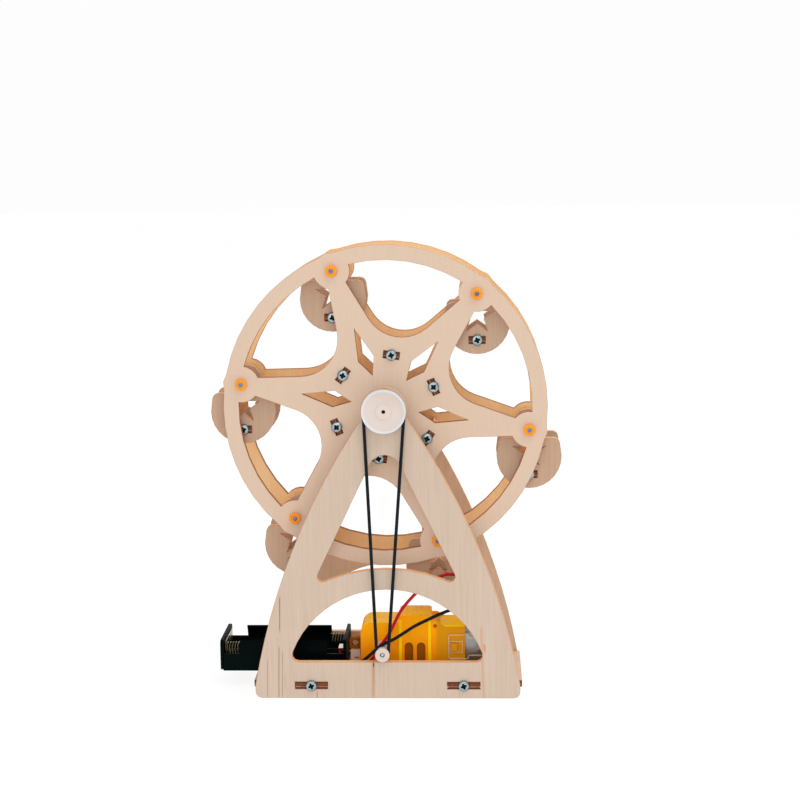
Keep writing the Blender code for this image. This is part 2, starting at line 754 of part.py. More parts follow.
def upper_window():
    tilt = math.degrees(math.atan(WINDOW_FLARE))
    crown = arc((0, WINDOW_TOP_Z), WINDOW_TOP_RADIUS, tilt, 180 - tilt, 8)
    edge_x, edge_z = crown[0]
    sill_centre = WINDOW_SILL_Z - WINDOW_SILL_RADIUS
    # The straight side meets the sill's circle where its distance to the centre is the radius
    start = edge_x + edge_z * WINDOW_FLARE
    a = 1 + WINDOW_FLARE ** 2
    b = -2 * (start * WINDOW_FLARE + sill_centre)
    c = start ** 2 + sill_centre ** 2 - WINDOW_SILL_RADIUS ** 2
    corner_z = (-b + math.sqrt(b * b - 4 * a * c)) / (2 * a)
    corner_x = start - corner_z * WINDOW_FLARE
    angle = heading((corner_x, corner_z), (0, sill_centre))
    sill = arc((0, sill_centre), WINDOW_SILL_RADIUS, 180 - angle, angle, 8)
    corners = [(x, y, 0) for x, y in crown]
    corners.append((-corner_x, corner_z, WINDOW_CORNER))
    corners += [(x, y, 0) for x, y in sill[1:-1]]
    corners.append((corner_x, corner_z, WINDOW_CORNER))
    return rounded(corners, 4)


def arch_window():
    rise = ARCH_FLOOR_Z - ARCH_CENTRE_Z
    start = math.degrees(math.asin(rise / ARCH_RADIUS))
    vault = arc((0, ARCH_CENTRE_Z), ARCH_RADIUS, start, 180 - start, 24)
    corners = [(*vault[0], ARCH_CORNER)]
    corners += [(x, y, 0) for x, y in vault[1:-1]]
    corners.append((*vault[-1], ARCH_CORNER))
    return rounded(corners)


def build_frames():
    slot = box(-BOARD_SLOT / 2, BOARD_SLOT / 2, BOARD_Z - SLOT_HEIGHT / 2, BOARD_Z + SLOT_HEIGHT / 2)
    holes = [
        upper_window(),
        arch_window(),
        circle((0, AXLE_HEIGHT), HOLE_RADIUS, 8),
        shifted(slot, -BOARD_BOLT_X, 0),
        shifted(slot, BOARD_BOLT_X, 0),
    ]
    frame = sheet(frame_outline(), holes, PLY)
    plate_y = FRAME_FACE - PLY / 2
    add("front_frame", frame, WOOD, None, at(0, -plate_y, 0) @ FRONT)
    add("back_frame", frame.copy(), WOOD, None, at(0, plate_y, 0) @ FRONT)


def build_board():
    bolts = [-BOARD_BOLT_X, BOARD_BOLT_X]
    board = sheet(cross_plate(BOARD_HALF, bolts, BOARD_SLOT, FRAME_FACE), [], PLY)
    add("base_board", board, WOOD, None, at(0, 0, BOARD_Z))
    nut = nut_mesh()
    bolt_body = bolt_mesh()
    count = 0
    for x in bolts:
        for side in (Matrix(), HALF_TURN):
            count += 1
            place = at(x, 0, BOARD_Z) @ side @ at(0, -FRAME_FACE - FIT, 0) @ FRONT
            bolt = add(f"base_bolt_{count}", bolt_body.copy(), ZINC, None, place)
            shape_with(bolt, nut.copy(), "UNION", place @ at(0, 0, -NUT_INSET - FIT))


# Geared motor

def gearbox_outline():
    return rounded([
        (GEARBOX_LEFT, GEARBOX_BOTTOM, GEARBOX_CORNER),
        (GEARBOX_RIGHT, GEARBOX_BOTTOM, 0),
        (GEARBOX_RIGHT, CRADLE_TOP, GEARBOX_EDGE),
        (CRADLE_START, CRADLE_TOP, 0),
        (TOWER_RIGHT + SHOULDER_RUN, SHOULDER_TOP, 0),
        (TOWER_RIGHT, SHOULDER_TOP, 0),
        (TOWER_RIGHT, TOWER_TOP, TOWER_CORNER),
        (TOWER_LEFT, TOWER_TOP, TOWER_CORNER),
        (TOWER_LEFT, GEARBOX_TOP, 0),
        (GEARBOX_LEFT, GEARBOX_TOP, GEARBOX_CORNER),
    ], 4)


def gearbox_half(name, side):
    """One moulded half. Side is -1 for the front half and 1 for the back half."""
    split = MOTOR_Y + side * FIT / 2
    face = MOTOR_Y + side * GEARBOX_FACE
    inner_face = face - side * GEARBOX_WALL
    beyond = split - side * FIT
    middle = (split + face) / 2
    shell = sheet(gearbox_outline(), [], abs(face - split))
    half = add(name, shell, YELLOW, None, at(0, middle, 0) @ FRONT)
    wall = GEARBOX_WALL
    can_wall_y = MOTOR_Y + side * (CAN_FLATS / 2 + FIT)
    gear_bay = brick(
        (GEARBOX_LEFT + wall, min(beyond, inner_face), GEARBOX_BOTTOM + wall),
        (CAN_LEFT - FIT - wall, max(beyond, inner_face), GEARBOX_TOP - wall),
    )
    can_bay = brick(
        (CAN_LEFT - FIT, min(beyond, can_wall_y), DRIVER_Z - CAN_HEIGHT / 2 - FIT),
        (GEARBOX_RIGHT + wall, max(beyond, can_wall_y), TOWER_TOP + wall),
    )
    boss_bay = rod(CAN_BOSS + FIT, 0, 2 * wall + FIT, 12)
    shape_with(half, gear_bay, "DIFFERENCE")
    shape_with(half, can_bay, "DIFFERENCE")
    boss_place = at(CAN_LEFT - FIT - 1.5 * wall, MOTOR_Y, DRIVER_Z) @ ALONG_X
    shape_with(half, boss_bay, "DIFFERENCE", boss_place)
    return half


def build_gearbox():
    front = gearbox_half("gearbox_front", -1)
    back = gearbox_half("gearbox_back", 1)
    hole = rod(SHAFT_DIAMETER / 2 + FIT, -GEARBOX_WALL, 2 * GEARBOX_WALL, 16)
    shape_with(front, hole, "DIFFERENCE", at(DRIVER_X, FRONT_FACE_Y + GEARBOX_WALL, DRIVER_Z) @ FRONT)
    for centre in RECESS_CENTRES:
        half = RECESS_WIDTH / 2
        crown = arc((centre, RECESS_TOP - half), half, 0, 180, 6)
        outline = [(centre - half, GEARBOX_BOTTOM - FIT), (centre + half, GEARBOX_BOTTOM - FIT)] + crown
        recess = sheet(outline, [], 2 * RECESS_DEPTH)
        shape_with(front, recess, "DIFFERENCE", at(0, FRONT_FACE_Y, 0) @ FRONT)
    for left in (TOWER_LEFT, TOWER_RIGHT - TOWER_RIB):
        rib = brick(
            (left, FRONT_FACE_Y - TOWER_RIB_PROUD, GEARBOX_BOTTOM + FIT),
            (left + TOWER_RIB, FRONT_FACE_Y + GEARBOX_WALL / 2, TOWER_TOP - TOWER_RIB_DROP),
        )
        shape_with(front, rib, "UNION")
    ear_front = MOTOR_Y - FIT / 2 - EAR_THICKNESS
    ear_middle = (EAR_TOP + EAR_BOTTOM) / 2
    ear = rounded([
        (EAR_LEFT, EAR_BOTTOM, EAR_RIM),
        (GEARBOX_LEFT + GEARBOX_WALL / 2, EAR_BOTTOM, 0),
        (GEARBOX_LEFT + GEARBOX_WALL / 2, EAR_TOP, 0),
        (EAR_LEFT, EAR_TOP, EAR_RIM),
    ])
    ear_hole = circle((EAR_LEFT + EAR_HOLE / 2 + EAR_RIM, ear_middle), EAR_HOLE / 2, 12)
    ear_plate = sheet(ear, [ear_hole], EAR_THICKNESS)
    shape_with(front, ear_plate, "UNION", at(0, ear_front + EAR_THICKNESS / 2, 0) @ FRONT)
    for half, side in ((front, -1), (back, 1)):
        face = MOTOR_Y + side * GEARBOX_FACE
        edge = (face - side * GEARBOX_WALL / 4, face + side * CATCH_PROUD)
        catch = brick(
            (CATCH_LEFT, min(edge), DRIVER_Z - CATCH_HEIGHT / 2),
            (CATCH_LEFT + CATCH_WIDTH, max(edge), DRIVER_Z + CATCH_HEIGHT / 2),
        )
        shape_with(half, catch, "UNION")


def flat_sided(height, flats, steps):
    """Outline of a round motor body with two flat sides, in (y, z)."""
    radius = height / 2
    cut = math.degrees(math.acos(flats / 2 / radius))
    return arc((0, 0), radius, cut, 180 - cut, steps) + arc((0, 0), radius, 180 + cut, 360 - cut, steps)


def build_motor():
    place = at(0, MOTOR_Y, DRIVER_Z) @ ALONG_X
    body = sheet(flat_sided(CAN_HEIGHT, CAN_FLATS, 8), [], CAN_RIGHT - CAN_LEFT)
    can = add("motor_can", body, STEEL, None, place @ at(0, 0, (CAN_LEFT + CAN_RIGHT) / 2))
    boss = rod(CAN_BOSS, CAN_LEFT - GEARBOX_WALL, CAN_LEFT + GEARBOX_WALL, 12)
    shape_with(can, boss, "UNION", place)
    cap_left = CAN_RIGHT + FIT
    inset = 2 * END_CAP_INSET
    cap_outline = flat_sided(CAN_HEIGHT - inset, CAN_FLATS - inset, 8)
    cap = sheet(cap_outline, [], END_CAP_LENGTH)
    cap_middle = cap_left + END_CAP_LENGTH / 2
    end_cap = add("motor_end_cap", cap, WHITE, None, place @ at(0, 0, cap_middle))
    edge = CAN_HEIGHT / 2 - END_CAP_INSET
    for side in (-1, 1):
        ends = (DRIVER_Z + side * (edge - TERMINAL_ROOT), DRIVER_Z + side * (edge + TERMINAL_REACH))
        terminal = brick(
            (cap_middle - TERMINAL_THICKNESS / 2, MOTOR_Y - TERMINAL_WIDTH / 2, min(ends)),
            (cap_middle + TERMINAL_THICKNESS / 2, MOTOR_Y + TERMINAL_WIDTH / 2, max(ends)),
        )
        shape_with(end_cap, terminal, "UNION")


def build_strap():
    """A U of clear plastic that hooks over a catch on each half of the gearbox."""
    arm_y = GEARBOX_FACE + FIT + STRAP_THICKNESS / 2
    right = CAN_RIGHT + FIT + END_CAP_LENGTH + FIT + STRAP_THICKNESS
    wide, band = STRAP_WIDE / 2, STRAP_BAND / 2
    outline = rounded([
        (STRAP_LEFT, DRIVER_Z - wide, STRAP_CORNER),
        (STRAP_STEP, DRIVER_Z - wide, STRAP_CORNER),
        (STRAP_STEP, DRIVER_Z - band, 0),
        (right - STRAP_THICKNESS / 2, DRIVER_Z - band, 0),
        (right - STRAP_THICKNESS / 2, DRIVER_Z + band, 0),
        (STRAP_STEP, DRIVER_Z + band, 0),
        (STRAP_STEP, DRIVER_Z + wide, STRAP_CORNER),
        (STRAP_LEFT, DRIVER_Z + wide, STRAP_CORNER),
    ])
    hole_half = STRAP_HOLE_HEIGHT / 2
    hole = box(STRAP_HOLE_LEFT, STRAP_HOLE_RIGHT, DRIVER_Z - hole_half, DRIVER_Z + hole_half)
    arm = sheet(outline, [hole], STRAP_THICKNESS)
    strap = add("motor_strap", arm, CLEAR, None, at(0, MOTOR_Y - arm_y, 0) @ FRONT)
    shape_with(strap, arm.copy(), "UNION", at(0, MOTOR_Y + arm_y, 0) @ FRONT)
    end_half = band - STRAP_THICKNESS / 4
    end = brick(
        (right - STRAP_THICKNESS, MOTOR_Y - arm_y, DRIVER_Z - end_half),
        (right, MOTOR_Y + arm_y, DRIVER_Z + end_half),
    )
    shape_with(strap, end, "UNION")


def build_mounting():
    tape = brick(
        (GEARBOX_LEFT + GEARBOX_CORNER, FRONT_FACE_Y + TAPE_MARGIN, BOARD_TOP + FIT),
        (GEARBOX_RIGHT - TAPE_MARGIN, MOTOR_Y + GEARBOX_FACE - TAPE_MARGIN, GEARBOX_BOTTOM - FIT),
    )
    add("motor_tape", tape, FOAM)
    block = rounded([
        (BLOCK_LEFT, BOARD_TOP + FIT, BLOCK_CORNER),
        (BLOCK_RIGHT, BOARD_TOP + FIT, 0),
        (BLOCK_RIGHT, EAR_BOTTOM - FIT, 0),
        (BLOCK_LEFT, EAR_BOTTOM - FIT, 0),
    ])
    slot_right = BLOCK_SLOT_LEFT + BLOCK_SLOT_LENGTH
    slot = box(BLOCK_SLOT_LEFT, slot_right, BLOCK_SLOT_Z, BLOCK_SLOT_Z + BLOCK_SLOT_HEIGHT)
    middle = MOTOR_Y - FIT / 2 - EAR_THICKNESS / 2
    add("ear_block", sheet(block, [slot], BLOCK_DEPTH), WOOD, None, at(0, middle, 0) @ FRONT)


def build_output():
    """The gearbox's last shaft, with the steel pin that carries the small pulley."""
    axis = pivot("shaft_axis", DRIVER_X, DRIVER_Z)
    face = -FRONT_FACE_Y
    collar_back = face + FIT
    tip = collar_back + COLLAR_LENGTH
    back = -(MOTOR_Y + GEARBOX_FACE - GEARBOX_WALL - FIT)
    shaft = SHAFT_DIAMETER / 2
    pin = PIN_DIAMETER / 2
    pin_end = -BELT_Y + PIN_PROUD
    profile = [
        (0, pin_end),
        (pin, pin_end),
        (pin, tip),
        (COLLAR_RADIUS, tip),
        (COLLAR_RADIUS, collar_back),
        (shaft, collar_back),
        (shaft, back),
        (0, back),
    ]
    add("output_shaft", lathe(profile, 16), WHITE, axis, FRONT)
    bore = PIN_DIAMETER / 2 + FIT
    groove_half = BELT_DIAMETER / 2 + FIT
    groove = DRIVER_PITCH - BELT_DIAMETER / 2 - FIT
    front = PULLEY_BACK + PULLEY_WIDTH
    pulley_profile = [
        (bore, front),
        (DRIVER_RADIUS, front),
        (DRIVER_RADIUS, -BELT_Y + groove_half),
        (groove, -BELT_Y + groove_half),
        (groove, -BELT_Y - groove_half),
        (DRIVER_RADIUS - FIT, -BELT_Y - groove_half),
        (DRIVER_RADIUS - FIT, PULLEY_BACK),
        (DRIVER_HUB, PULLEY_BACK),
        (DRIVER_HUB, -DRIVER_HUB_BACK),
        (bore, -DRIVER_HUB_BACK),
    ]
    add("shaft_pulley", lathe(pulley_profile, 16, closed=True), WHITE, axis, FRONT)
    teeth = []
    step = 360 / GEAR_TEETH
    for index in range(GEAR_TEETH):
        teeth.append(polar(GEAR_ROOT, step * (index - TOOTH_ROOT)))
        teeth.append(polar(GEAR_RADIUS, step * (index - TOOTH_TIP)))
        teeth.append(polar(GEAR_RADIUS, step * (index + TOOTH_TIP)))
        teeth.append(polar(GEAR_ROOT, step * (index + TOOTH_ROOT)))
    gear = sheet(teeth, [circle((0, 0), shaft + FIT, 16)], GEAR_WIDTH)
    add("output_gear", gear, WHITE, axis, at(0, MOTOR_Y, 0) @ FRONT)


# Battery holder

def holder_section():
    """Section of the tray in (y, z): two troughs whose walls curl in over the cells."""
    outer = CELL_RADIUS + HOLDER_WALL
    half = CELL_PITCH / 2
    lip = HOLDER_LIP_ANGLE
    right_outer = arc((half, CELL_Z), outer, -90, lip, 8)
    rib = HOLDER_WALL / 2
    rib_angle = math.degrees(math.asin((half - rib) / CELL_RADIUS)) if half - rib < CELL_RADIUS else 90
    right_inner = arc((half, CELL_Z), CELL_RADIUS, lip, -90 - rib_angle, 10)
    right = right_outer + right_inner
    return mirrored(right) + right


def build_holder():
    outer_right = HOLDER_RIGHT - HOLDER_END / 2
    outer_left = HOLDER_LEFT + HOLDER_END / 2
    section = sheet(holder_section(), [], outer_right - outer_left)
    place = at(0, HOLDER_Y, 0) @ ALONG_X
    holder = add("battery_holder", section, BLACK, None, place @ at(0, 0, (outer_left + outer_right) / 2))
    bottom = BOARD_TOP + FIT
    end_outline = rounded([
        (-HOLDER_HALF, bottom, HOLDER_CORNER),
        (HOLDER_HALF, bottom, HOLDER_CORNER),
        (HOLDER_HALF, HOLDER_TOP, HOLDER_CORNER),
        (-HOLDER_HALF, HOLDER_TOP, HOLDER_CORNER),
    ])
    end = sheet(end_outline, [], HOLDER_END)
    for x in (HOLDER_LEFT + HOLDER_END / 2, HOLDER_RIGHT - HOLDER_END / 2):
        shape_with(holder, end.copy(), "UNION", place @ at(0, 0, x))
    for left in (HOLDER_LEFT + HOLDER_END, HOLDER_RIGHT - HOLDER_END - NOTCH_LENGTH):
        notch = brick(
            (left, HOLDER_Y - HOLDER_HALF - HOLDER_WALL, NOTCH_FLOOR),
            (left + NOTCH_LENGTH, HOLDER_Y + HOLDER_HALF + HOLDER_WALL, HOLDER_TOP + HOLDER_WALL),
        )
        shape_with(holder, notch, "DIFFERENCE")
    exit_hole = rod(LEAD_DIAMETER / 2 + FIT, 0, CELL_RADIUS, 10)
    exit_place = at(RED_LEAD_X, HOLDER_Y - CELL_PITCH / 2 - CELL_RADIUS / 2, LEAD_EXIT_Z) @ FRONT
    shape_with(holder, exit_hole, "DIFFERENCE", exit_place)
    tail_hole = brick(tail_corner(-1, FIT), tail_corner(1, FIT))
    shape_with(holder, tail_hole, "DIFFERENCE")


def tail_corner(side, margin=0.0):
    """Corner of the contact's tail, which goes through the holder's end wall to the black lead."""
    middle_x = (HOLDER_RIGHT - HOLDER_END - FIT + BLACK_LEAD_X + LEAD_DIAMETER / 2) / 2
    half_x = (BLACK_LEAD_X + LEAD_DIAMETER / 2) - middle_x
    middle_y = BLACK_LEAD_START_Y + FIT + TAIL_WIDTH / 2
    return (
        middle_x + side * (half_x + CONTACT_THICKNESS / 2),
        middle_y + side * (TAIL_WIDTH / 2 + margin),
        BLACK_LEAD_Z + side * (TAIL_HEIGHT / 2 + margin),
    )


def build_contacts():
    front_y = HOLDER_Y - CELL_PITCH / 2
    back_y = HOLDER_Y + CELL_PITCH / 2
    right = HOLDER_RIGHT - HOLDER_END - FIT
    left = HOLDER_LEFT + HOLDER_END + FIT
    bottom = CELL_Z - CONTACT_HEIGHT / 2
    top = CELL_Z + CONTACT_HEIGHT / 2
    half = CONTACT_WIDTH / 2
    lug_bottom = RED_LEAD_TOP + FIT
    lug_top = lug_bottom + CONTACT_THICKNESS
    inner = right - CONTACT_THICKNESS
    hooked = [
        (right, bottom),
        (right, lug_top),
        (inner - LUG_LENGTH, lug_top),
        (inner - LUG_LENGTH, lug_bottom),
        (inner, lug_bottom),
        (inner, bottom),
    ]
    add("contact_front", sheet(hooked, [], CONTACT_WIDTH), BRASS, None, at(0, front_y, 0) @ FRONT)
    plate = brick((inner, back_y - half, bottom), (right, back_y + half, top))
    contact_back = add("contact_back", plate, BRASS)
    tail = brick(tail_corner(-1), tail_corner(1))
    shape_with(contact_back, tail, "UNION")
    # The left contact bridges the two cells over the middle rib
    bridge_top = top + CONTACT_THICKNESS
    rib_top = CELL_Z + FIT + BRIDGE_RISE
    bridge = [
        (-CELL_PITCH / 2 - half, bottom),
        (-CELL_PITCH / 2 + half, bottom),
        (-CELL_PITCH / 2 + half, rib_top),
        (CELL_PITCH / 2 - half, rib_top),
        (CELL_PITCH / 2 - half, bottom),
        (CELL_PITCH / 2 + half, bottom),
        (CELL_PITCH / 2 + half, bridge_top),
        (-CELL_PITCH / 2 - half, bridge_top),
    ]
    place = at(0, HOLDER_Y, 0) @ ALONG_X @ at(0, 0, left + CONTACT_THICKNESS / 2)
    add("contact_bridge", sheet(bridge, [], CONTACT_THICKNESS), BRASS, None, place)


def spring_route():
    """A helix along +x whose wire starts and ends square to what it meets."""
    points = [(0, 0, SPRING_RADIUS)]
    count = SPRING_CURLS * SPRING_POINTS
    for index in range(count + 1):
        angle = math.tau * index / SPRING_POINTS
        x = SPRING_WIRE + SPRING_PITCH * index / SPRING_POINTS
        points.append((x, SPRING_RADIUS * math.sin(angle), SPRING_RADIUS * math.cos(angle)))
    return points


def least_gap(route, skip, diameter):
    """Smallest clear distance between turns of a route, measured on points along it."""
    dense = []
    for start, end in zip(route, route[1:]):
        for step in range(4):
            dense.append(Vector(start).lerp(Vector(end), step / 4))
    nearest = min(
        (dense[first] - dense[second]).length
        for first in range(len(dense))
        for second in range(first + skip * 4, len(dense))
    )
    return nearest - diameter


def build_springs():
    route = spring_route()
    gap = least_gap(route, SPRING_POINTS // 2 + 2, SPRING_WIRE)
    print(f"contact spring: {SPRING_CURLS} curls, least gap to itself {gap / MM:.2f} mm")
    spring = tube(route, SPRING_WIRE, 1)
    left = HOLDER_LEFT + HOLDER_END + 2 * FIT + CONTACT_THICKNESS
    right = HOLDER_RIGHT - HOLDER_END - 2 * FIT - CONTACT_THICKNESS
    front = at(left, HOLDER_Y - CELL_PITCH / 2, CELL_Z)
    back = at(right, HOLDER_Y + CELL_PITCH / 2, CELL_Z) @ HALF_TURN
    add("spring_front", spring, ZINC, None, front)
    add("spring_back", spring.copy(), ZINC, None, back)


# Leads

RED_ROUTE = [
    (-23.4, -3.8, 16.8), (-23.4, -4.0, 14.9), (-23.4, -4.7, 13.0), (-23.4, -6.3, 11.5),
    (-23.4, -9.0, 10.9), (-23.3, -12.5, 10.7), (-22.3, -16.2, 10.6), (-19.3, -18.8, 10.7),
    (-15.5, -19.4, 11.3), (-11.8, -19.5, 12.9), (-8.4, -19.5, 15.3), (-6.2, -19.5, 18.0),
    (-4.1, -19.5, 22.0), (-1.3, -19.5, 25.5), (1.5, -19.5, 30.0), (3.6, -19.5, 34.3),
    (6.7, -19.5, 40.0), (12.4, -19.6, 46.8), (18.2, -19.7, 52.0), (24.4, -19.8, 55.6),
    (30.1, -19.7, 56.6), (36.5, -19.5, 54.4), (42.5, -19.2, 49.2), (47.2, -18.6, 43.4),
    (50.4, -16.8, 39.2), (52.0, -12.2, 37.6), (52.3, -8.2, 36.9), (52.3, -7.1, 35.4),
    (52.3, -7.0, 33.1),
]
BLACK_ROUTE = [
    (-19.0, 7.5, 11.0), (-19.0, 2.0, 11.0), (-19.0, -5.0, 11.0), (-18.95, -11.0, 11.4),
    (-18.0, -16.2, 12.4), (-15.5, -19.9, 13.8), (-11.9, -21.4, 15.8), (-8.1, -21.8, 19.0),
    (-4.5, -21.8, 22.3), (-0.9, -21.8, 24.6), (3.2, -21.8, 26.6), (8.0, -21.8, 29.7),
    (12.8, -21.8, 32.8), (18.4, -21.8, 35.6), (25.2, -21.8, 38.8), (31.6, -21.6, 40.8),
    (38.4, -21.2, 40.2), (44.6, -20.6, 35.6), (49.0, -20.0, 28.6), (51.2, -19.2, 21.0),
    (52.0, -17.6, 14.4), (52.2, -14.2, 11.8), (52.3, -11.4, 11.5), (52.3, -8.4, 11.5),
]


def smooth_route(knots, spacing):
    """Points at an even spacing along a smooth curve through the knots."""
    points = [Vector(knot) * MM for knot in knots]
    padded = [2 * points[0] - points[1]] + points + [2 * points[-1] - points[-2]]
    fine = []
    for index in range(1, len(padded) - 2):
        before, start, end, after = padded[index - 1:index + 3]
        for step in range(12):
            t = step / 12
            place = 2 * start + (end - before) * t
            place += (2 * before - 5 * start + 4 * end - after) * t ** 2
            place += (3 * start - before - 3 * end + after) * t ** 3
            fine.append(place / 2)
    fine.append(points[-1])
    length = sum((b - a).length for a, b in zip(fine, fine[1:]))
    count = round(length / spacing)
    route = [fine[0]]
    walked = 0.0
    for start, end in zip(fine, fine[1:]):
        step = (end - start).length
        while len(route) < count and walked + step >= length * len(route) / count:
            share = (length * len(route) / count - walked) / step
            route.append(start.lerp(end, share))
        walked += step
    route.append(fine[-1])
    return route


def build_leads():
    for name, knots, finish in (("red_lead", RED_ROUTE, RED), ("black_lead", BLACK_ROUTE, BLACK)):
        route = smooth_route(knots, LEAD_SPACING)
        length = sum((b - a).length for a, b in zip(route, route[1:]))
        print(f"{name}: {length / MM:.1f} mm long")
        add(name, tube(route, LEAD_DIAMETER, 2), finish)


build_frames()
build_board()
build_wheel()
build_rods()
build_axle()
build_pulleys()
build_belt()
build_gondolas()
build_gearbox()
build_motor()
build_strap()
build_mounting()
build_output()
build_holder()
build_contacts()
build_springs()
build_leads()
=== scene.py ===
"""Looks of a laser-cut plywood ferris wheel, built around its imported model.

Everything is in metres in the model's own frame: Z is up, the viewer looks along +Y at the belt
side and the origin is on the floor under the middle of the axle. Profiles, routes and the corners
of blocks are listed in millimetres and scaled where a shape is made.
"""

import json
import math

import bmesh
import bpy
from mathutils import Matrix, Vector

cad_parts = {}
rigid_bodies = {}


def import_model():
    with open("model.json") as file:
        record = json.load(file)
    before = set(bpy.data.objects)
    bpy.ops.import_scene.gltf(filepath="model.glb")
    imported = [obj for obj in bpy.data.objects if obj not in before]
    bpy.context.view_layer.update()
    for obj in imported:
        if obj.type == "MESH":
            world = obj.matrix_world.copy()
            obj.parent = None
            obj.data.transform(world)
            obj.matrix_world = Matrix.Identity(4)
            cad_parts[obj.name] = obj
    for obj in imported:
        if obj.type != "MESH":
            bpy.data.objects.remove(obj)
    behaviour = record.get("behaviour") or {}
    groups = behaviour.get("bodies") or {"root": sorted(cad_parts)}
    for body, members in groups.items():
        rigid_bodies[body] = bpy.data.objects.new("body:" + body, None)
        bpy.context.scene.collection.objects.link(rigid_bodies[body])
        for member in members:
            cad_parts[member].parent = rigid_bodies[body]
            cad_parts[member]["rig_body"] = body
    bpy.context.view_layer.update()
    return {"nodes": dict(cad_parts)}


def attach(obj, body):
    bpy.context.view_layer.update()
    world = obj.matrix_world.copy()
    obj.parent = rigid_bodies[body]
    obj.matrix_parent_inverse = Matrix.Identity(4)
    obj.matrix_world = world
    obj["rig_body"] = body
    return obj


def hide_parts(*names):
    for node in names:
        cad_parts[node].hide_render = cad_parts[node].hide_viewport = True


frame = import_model()
NODES = frame["nodes"]

MM = 0.001
UP = Vector((0, 0, 1))
ALONG_Y = Vector((0, 1, 0))
FRONT = Matrix.Rotation(math.radians(90), 4, "X")
HALF_TURN = Matrix.Rotation(math.radians(180), 4, "Z")

# Sizes that repeat the CAD model's, lengths in metres and angles in degrees
FIT = 0.3 * MM
AXLE_Z = 134.0 * MM
SPOKES = 6
SPOKE_STEP = 60
FIRST_SPOKE = -9.3
PIVOT_RADIUS = 66.5 * MM
WHEEL_RADIUS = 74.0 * MM
SPACER_RADIUS = 24.0 * MM
SPACER_LEAD = 31.7
WHEEL_FACE = 16.0 * MM
FRAME_FACE = 27.0 * MM
GONDOLA_FACE = 11.0 * MM
SEAT_DROP = 21.6 * MM
BOARD_Z = 6.0 * MM
BOARD_BOLT_X = 35.1 * MM
NUT_DEPTH = 5.9 * MM
PULLEY_BACK_Y = -27.3 * MM
LARGE_BELT_RADIUS = 9.2 * MM
SMALL_BELT_RADIUS = 2.6 * MM
BELT_Y = -29.2 * MM
BELT_THICKNESS = 1.5 * MM
LEAD_THICKNESS = 1.5 * MM
DRIVER_X = -2.0 * MM
DRIVER_Z = 21.5 * MM

# The battery holder, in millimetres
FRONT_CELL_Y = -2.2
BACK_CELL_Y = 12.6
CELL_Z = 16.0
TROUGH_RADIUS = 8.0
HOLDER_SIDE = 8.2
HOLDER_BOTTOM_Z = 7.8


# Camera, light and floor

CAMERA_ANGLES = (2.56, 8.47, -0.7)
CAMERA_PLACE = (41.7910, -796.8279, 253.5795)
LENS = 78.12
SENSOR_WIDTH = 36
WHITE_LIGHT = (1, 1, 1, 1)
STUDIO_STRENGTH = 0.66
BACKDROP_STRENGTH = 0.985
LAMP_TARGET = Vector((0, 0, 0.1))
# Name, place, side length in metres and power in watts
LAMPS = (
    ("key", (-0.15, -1.2, 0.45), 0.7, 1.9),
    ("top", (0.4, -0.35, 1.1), 0.9, 4.0),
    ("rear", (0.1, 1.2, 0.75), 0.8, 5.0),
)
FLOOR_RADIUS = 6.0
FLOOR_STRENGTH = 0.88


def add_object(name, data):
    thing = bpy.data.objects.new(name, data)
    bpy.context.scene.collection.objects.link(thing)
    return thing


def add_camera():
    turn, lift, roll = (math.radians(angle) for angle in CAMERA_ANGLES)
    back = Vector((math.sin(turn) * math.cos(lift), -math.cos(turn) * math.cos(lift), math.sin(lift)))
    right = UP.cross(back).normalized()
    up = back.cross(right)
    level, tilt = math.cos(roll), math.sin(roll)
    axes = (level * right + tilt * up, level * up - tilt * right, back)
    place = Matrix(axes).transposed().to_4x4()
    place.translation = Vector(CAMERA_PLACE) * MM
    data = bpy.data.cameras.new("camera")
    data.lens = LENS
    data.sensor_width = SENSOR_WIDTH
    camera = add_object("camera", data)
    camera.matrix_world = place
    bpy.context.scene.camera = camera


def add_lamp(name, place, size, watts):
    data = bpy.data.lights.new(name, "AREA")
    data.size = size
    data.energy = watts
    aim = (LAMP_TARGET - Vector(place)).to_track_quat("-Z", "Y")
    add_object(name, data).matrix_world = Matrix.Translation(place) @ aim.to_matrix().to_4x4()


def add_world():
    """White studio light all round, and a brighter white behind the object for the camera alone."""
    world = bpy.data.worlds.new("studio")
    world.use_nodes = True
    tree = world.node_tree
    studio = tree.nodes["Background"]
    backdrop = tree.nodes.new("ShaderNodeBackground")
    for background, strength in ((studio, STUDIO_STRENGTH), (backdrop, BACKDROP_STRENGTH)):
        background.inputs["Color"].default_value = WHITE_LIGHT
        background.inputs["Strength"].default_value = strength
    ray = tree.nodes.new("ShaderNodeLightPath")
    choice = tree.nodes.new("ShaderNodeMixShader")
    tree.links.new(ray.outputs["Is Camera Ray"], choice.inputs["Fac"])
    tree.links.new(studio.outputs["Background"], choice.inputs[1])
    tree.links.new(backdrop.outputs["Background"], choice.inputs[2])
    tree.links.new(choice.outputs["Shader"], tree.nodes["World Output"].inputs["Surface"])
    bpy.context.scene.world = world
    bpy.context.scene.view_settings.view_transform = "Standard"
    bpy.context.scene.view_settings.look = "None"
    for lamp in LAMPS:
        add_lamp(*lamp)


def build_floor():
    shape = bmesh.new()
    bmesh.ops.create_circle(shape, cap_ends=True, segments=96, radius=FLOOR_RADIUS)
    look = Finish(
        "floor", Roughness=0.95, Specular_IOR_Level=0.0,
        Emission_Color=WHITE_LIGHT, Emission_Strength=FLOOR_STRENGTH,
    )
    grain = look.noise((30, 30, 30), 2.0)
    look.paint(look.mix(grain, rgb(118, 118, 118), rgb(114, 114, 114)))
    add_object("floor", mesh_from(shape, "floor", [look.material]))


# Materials

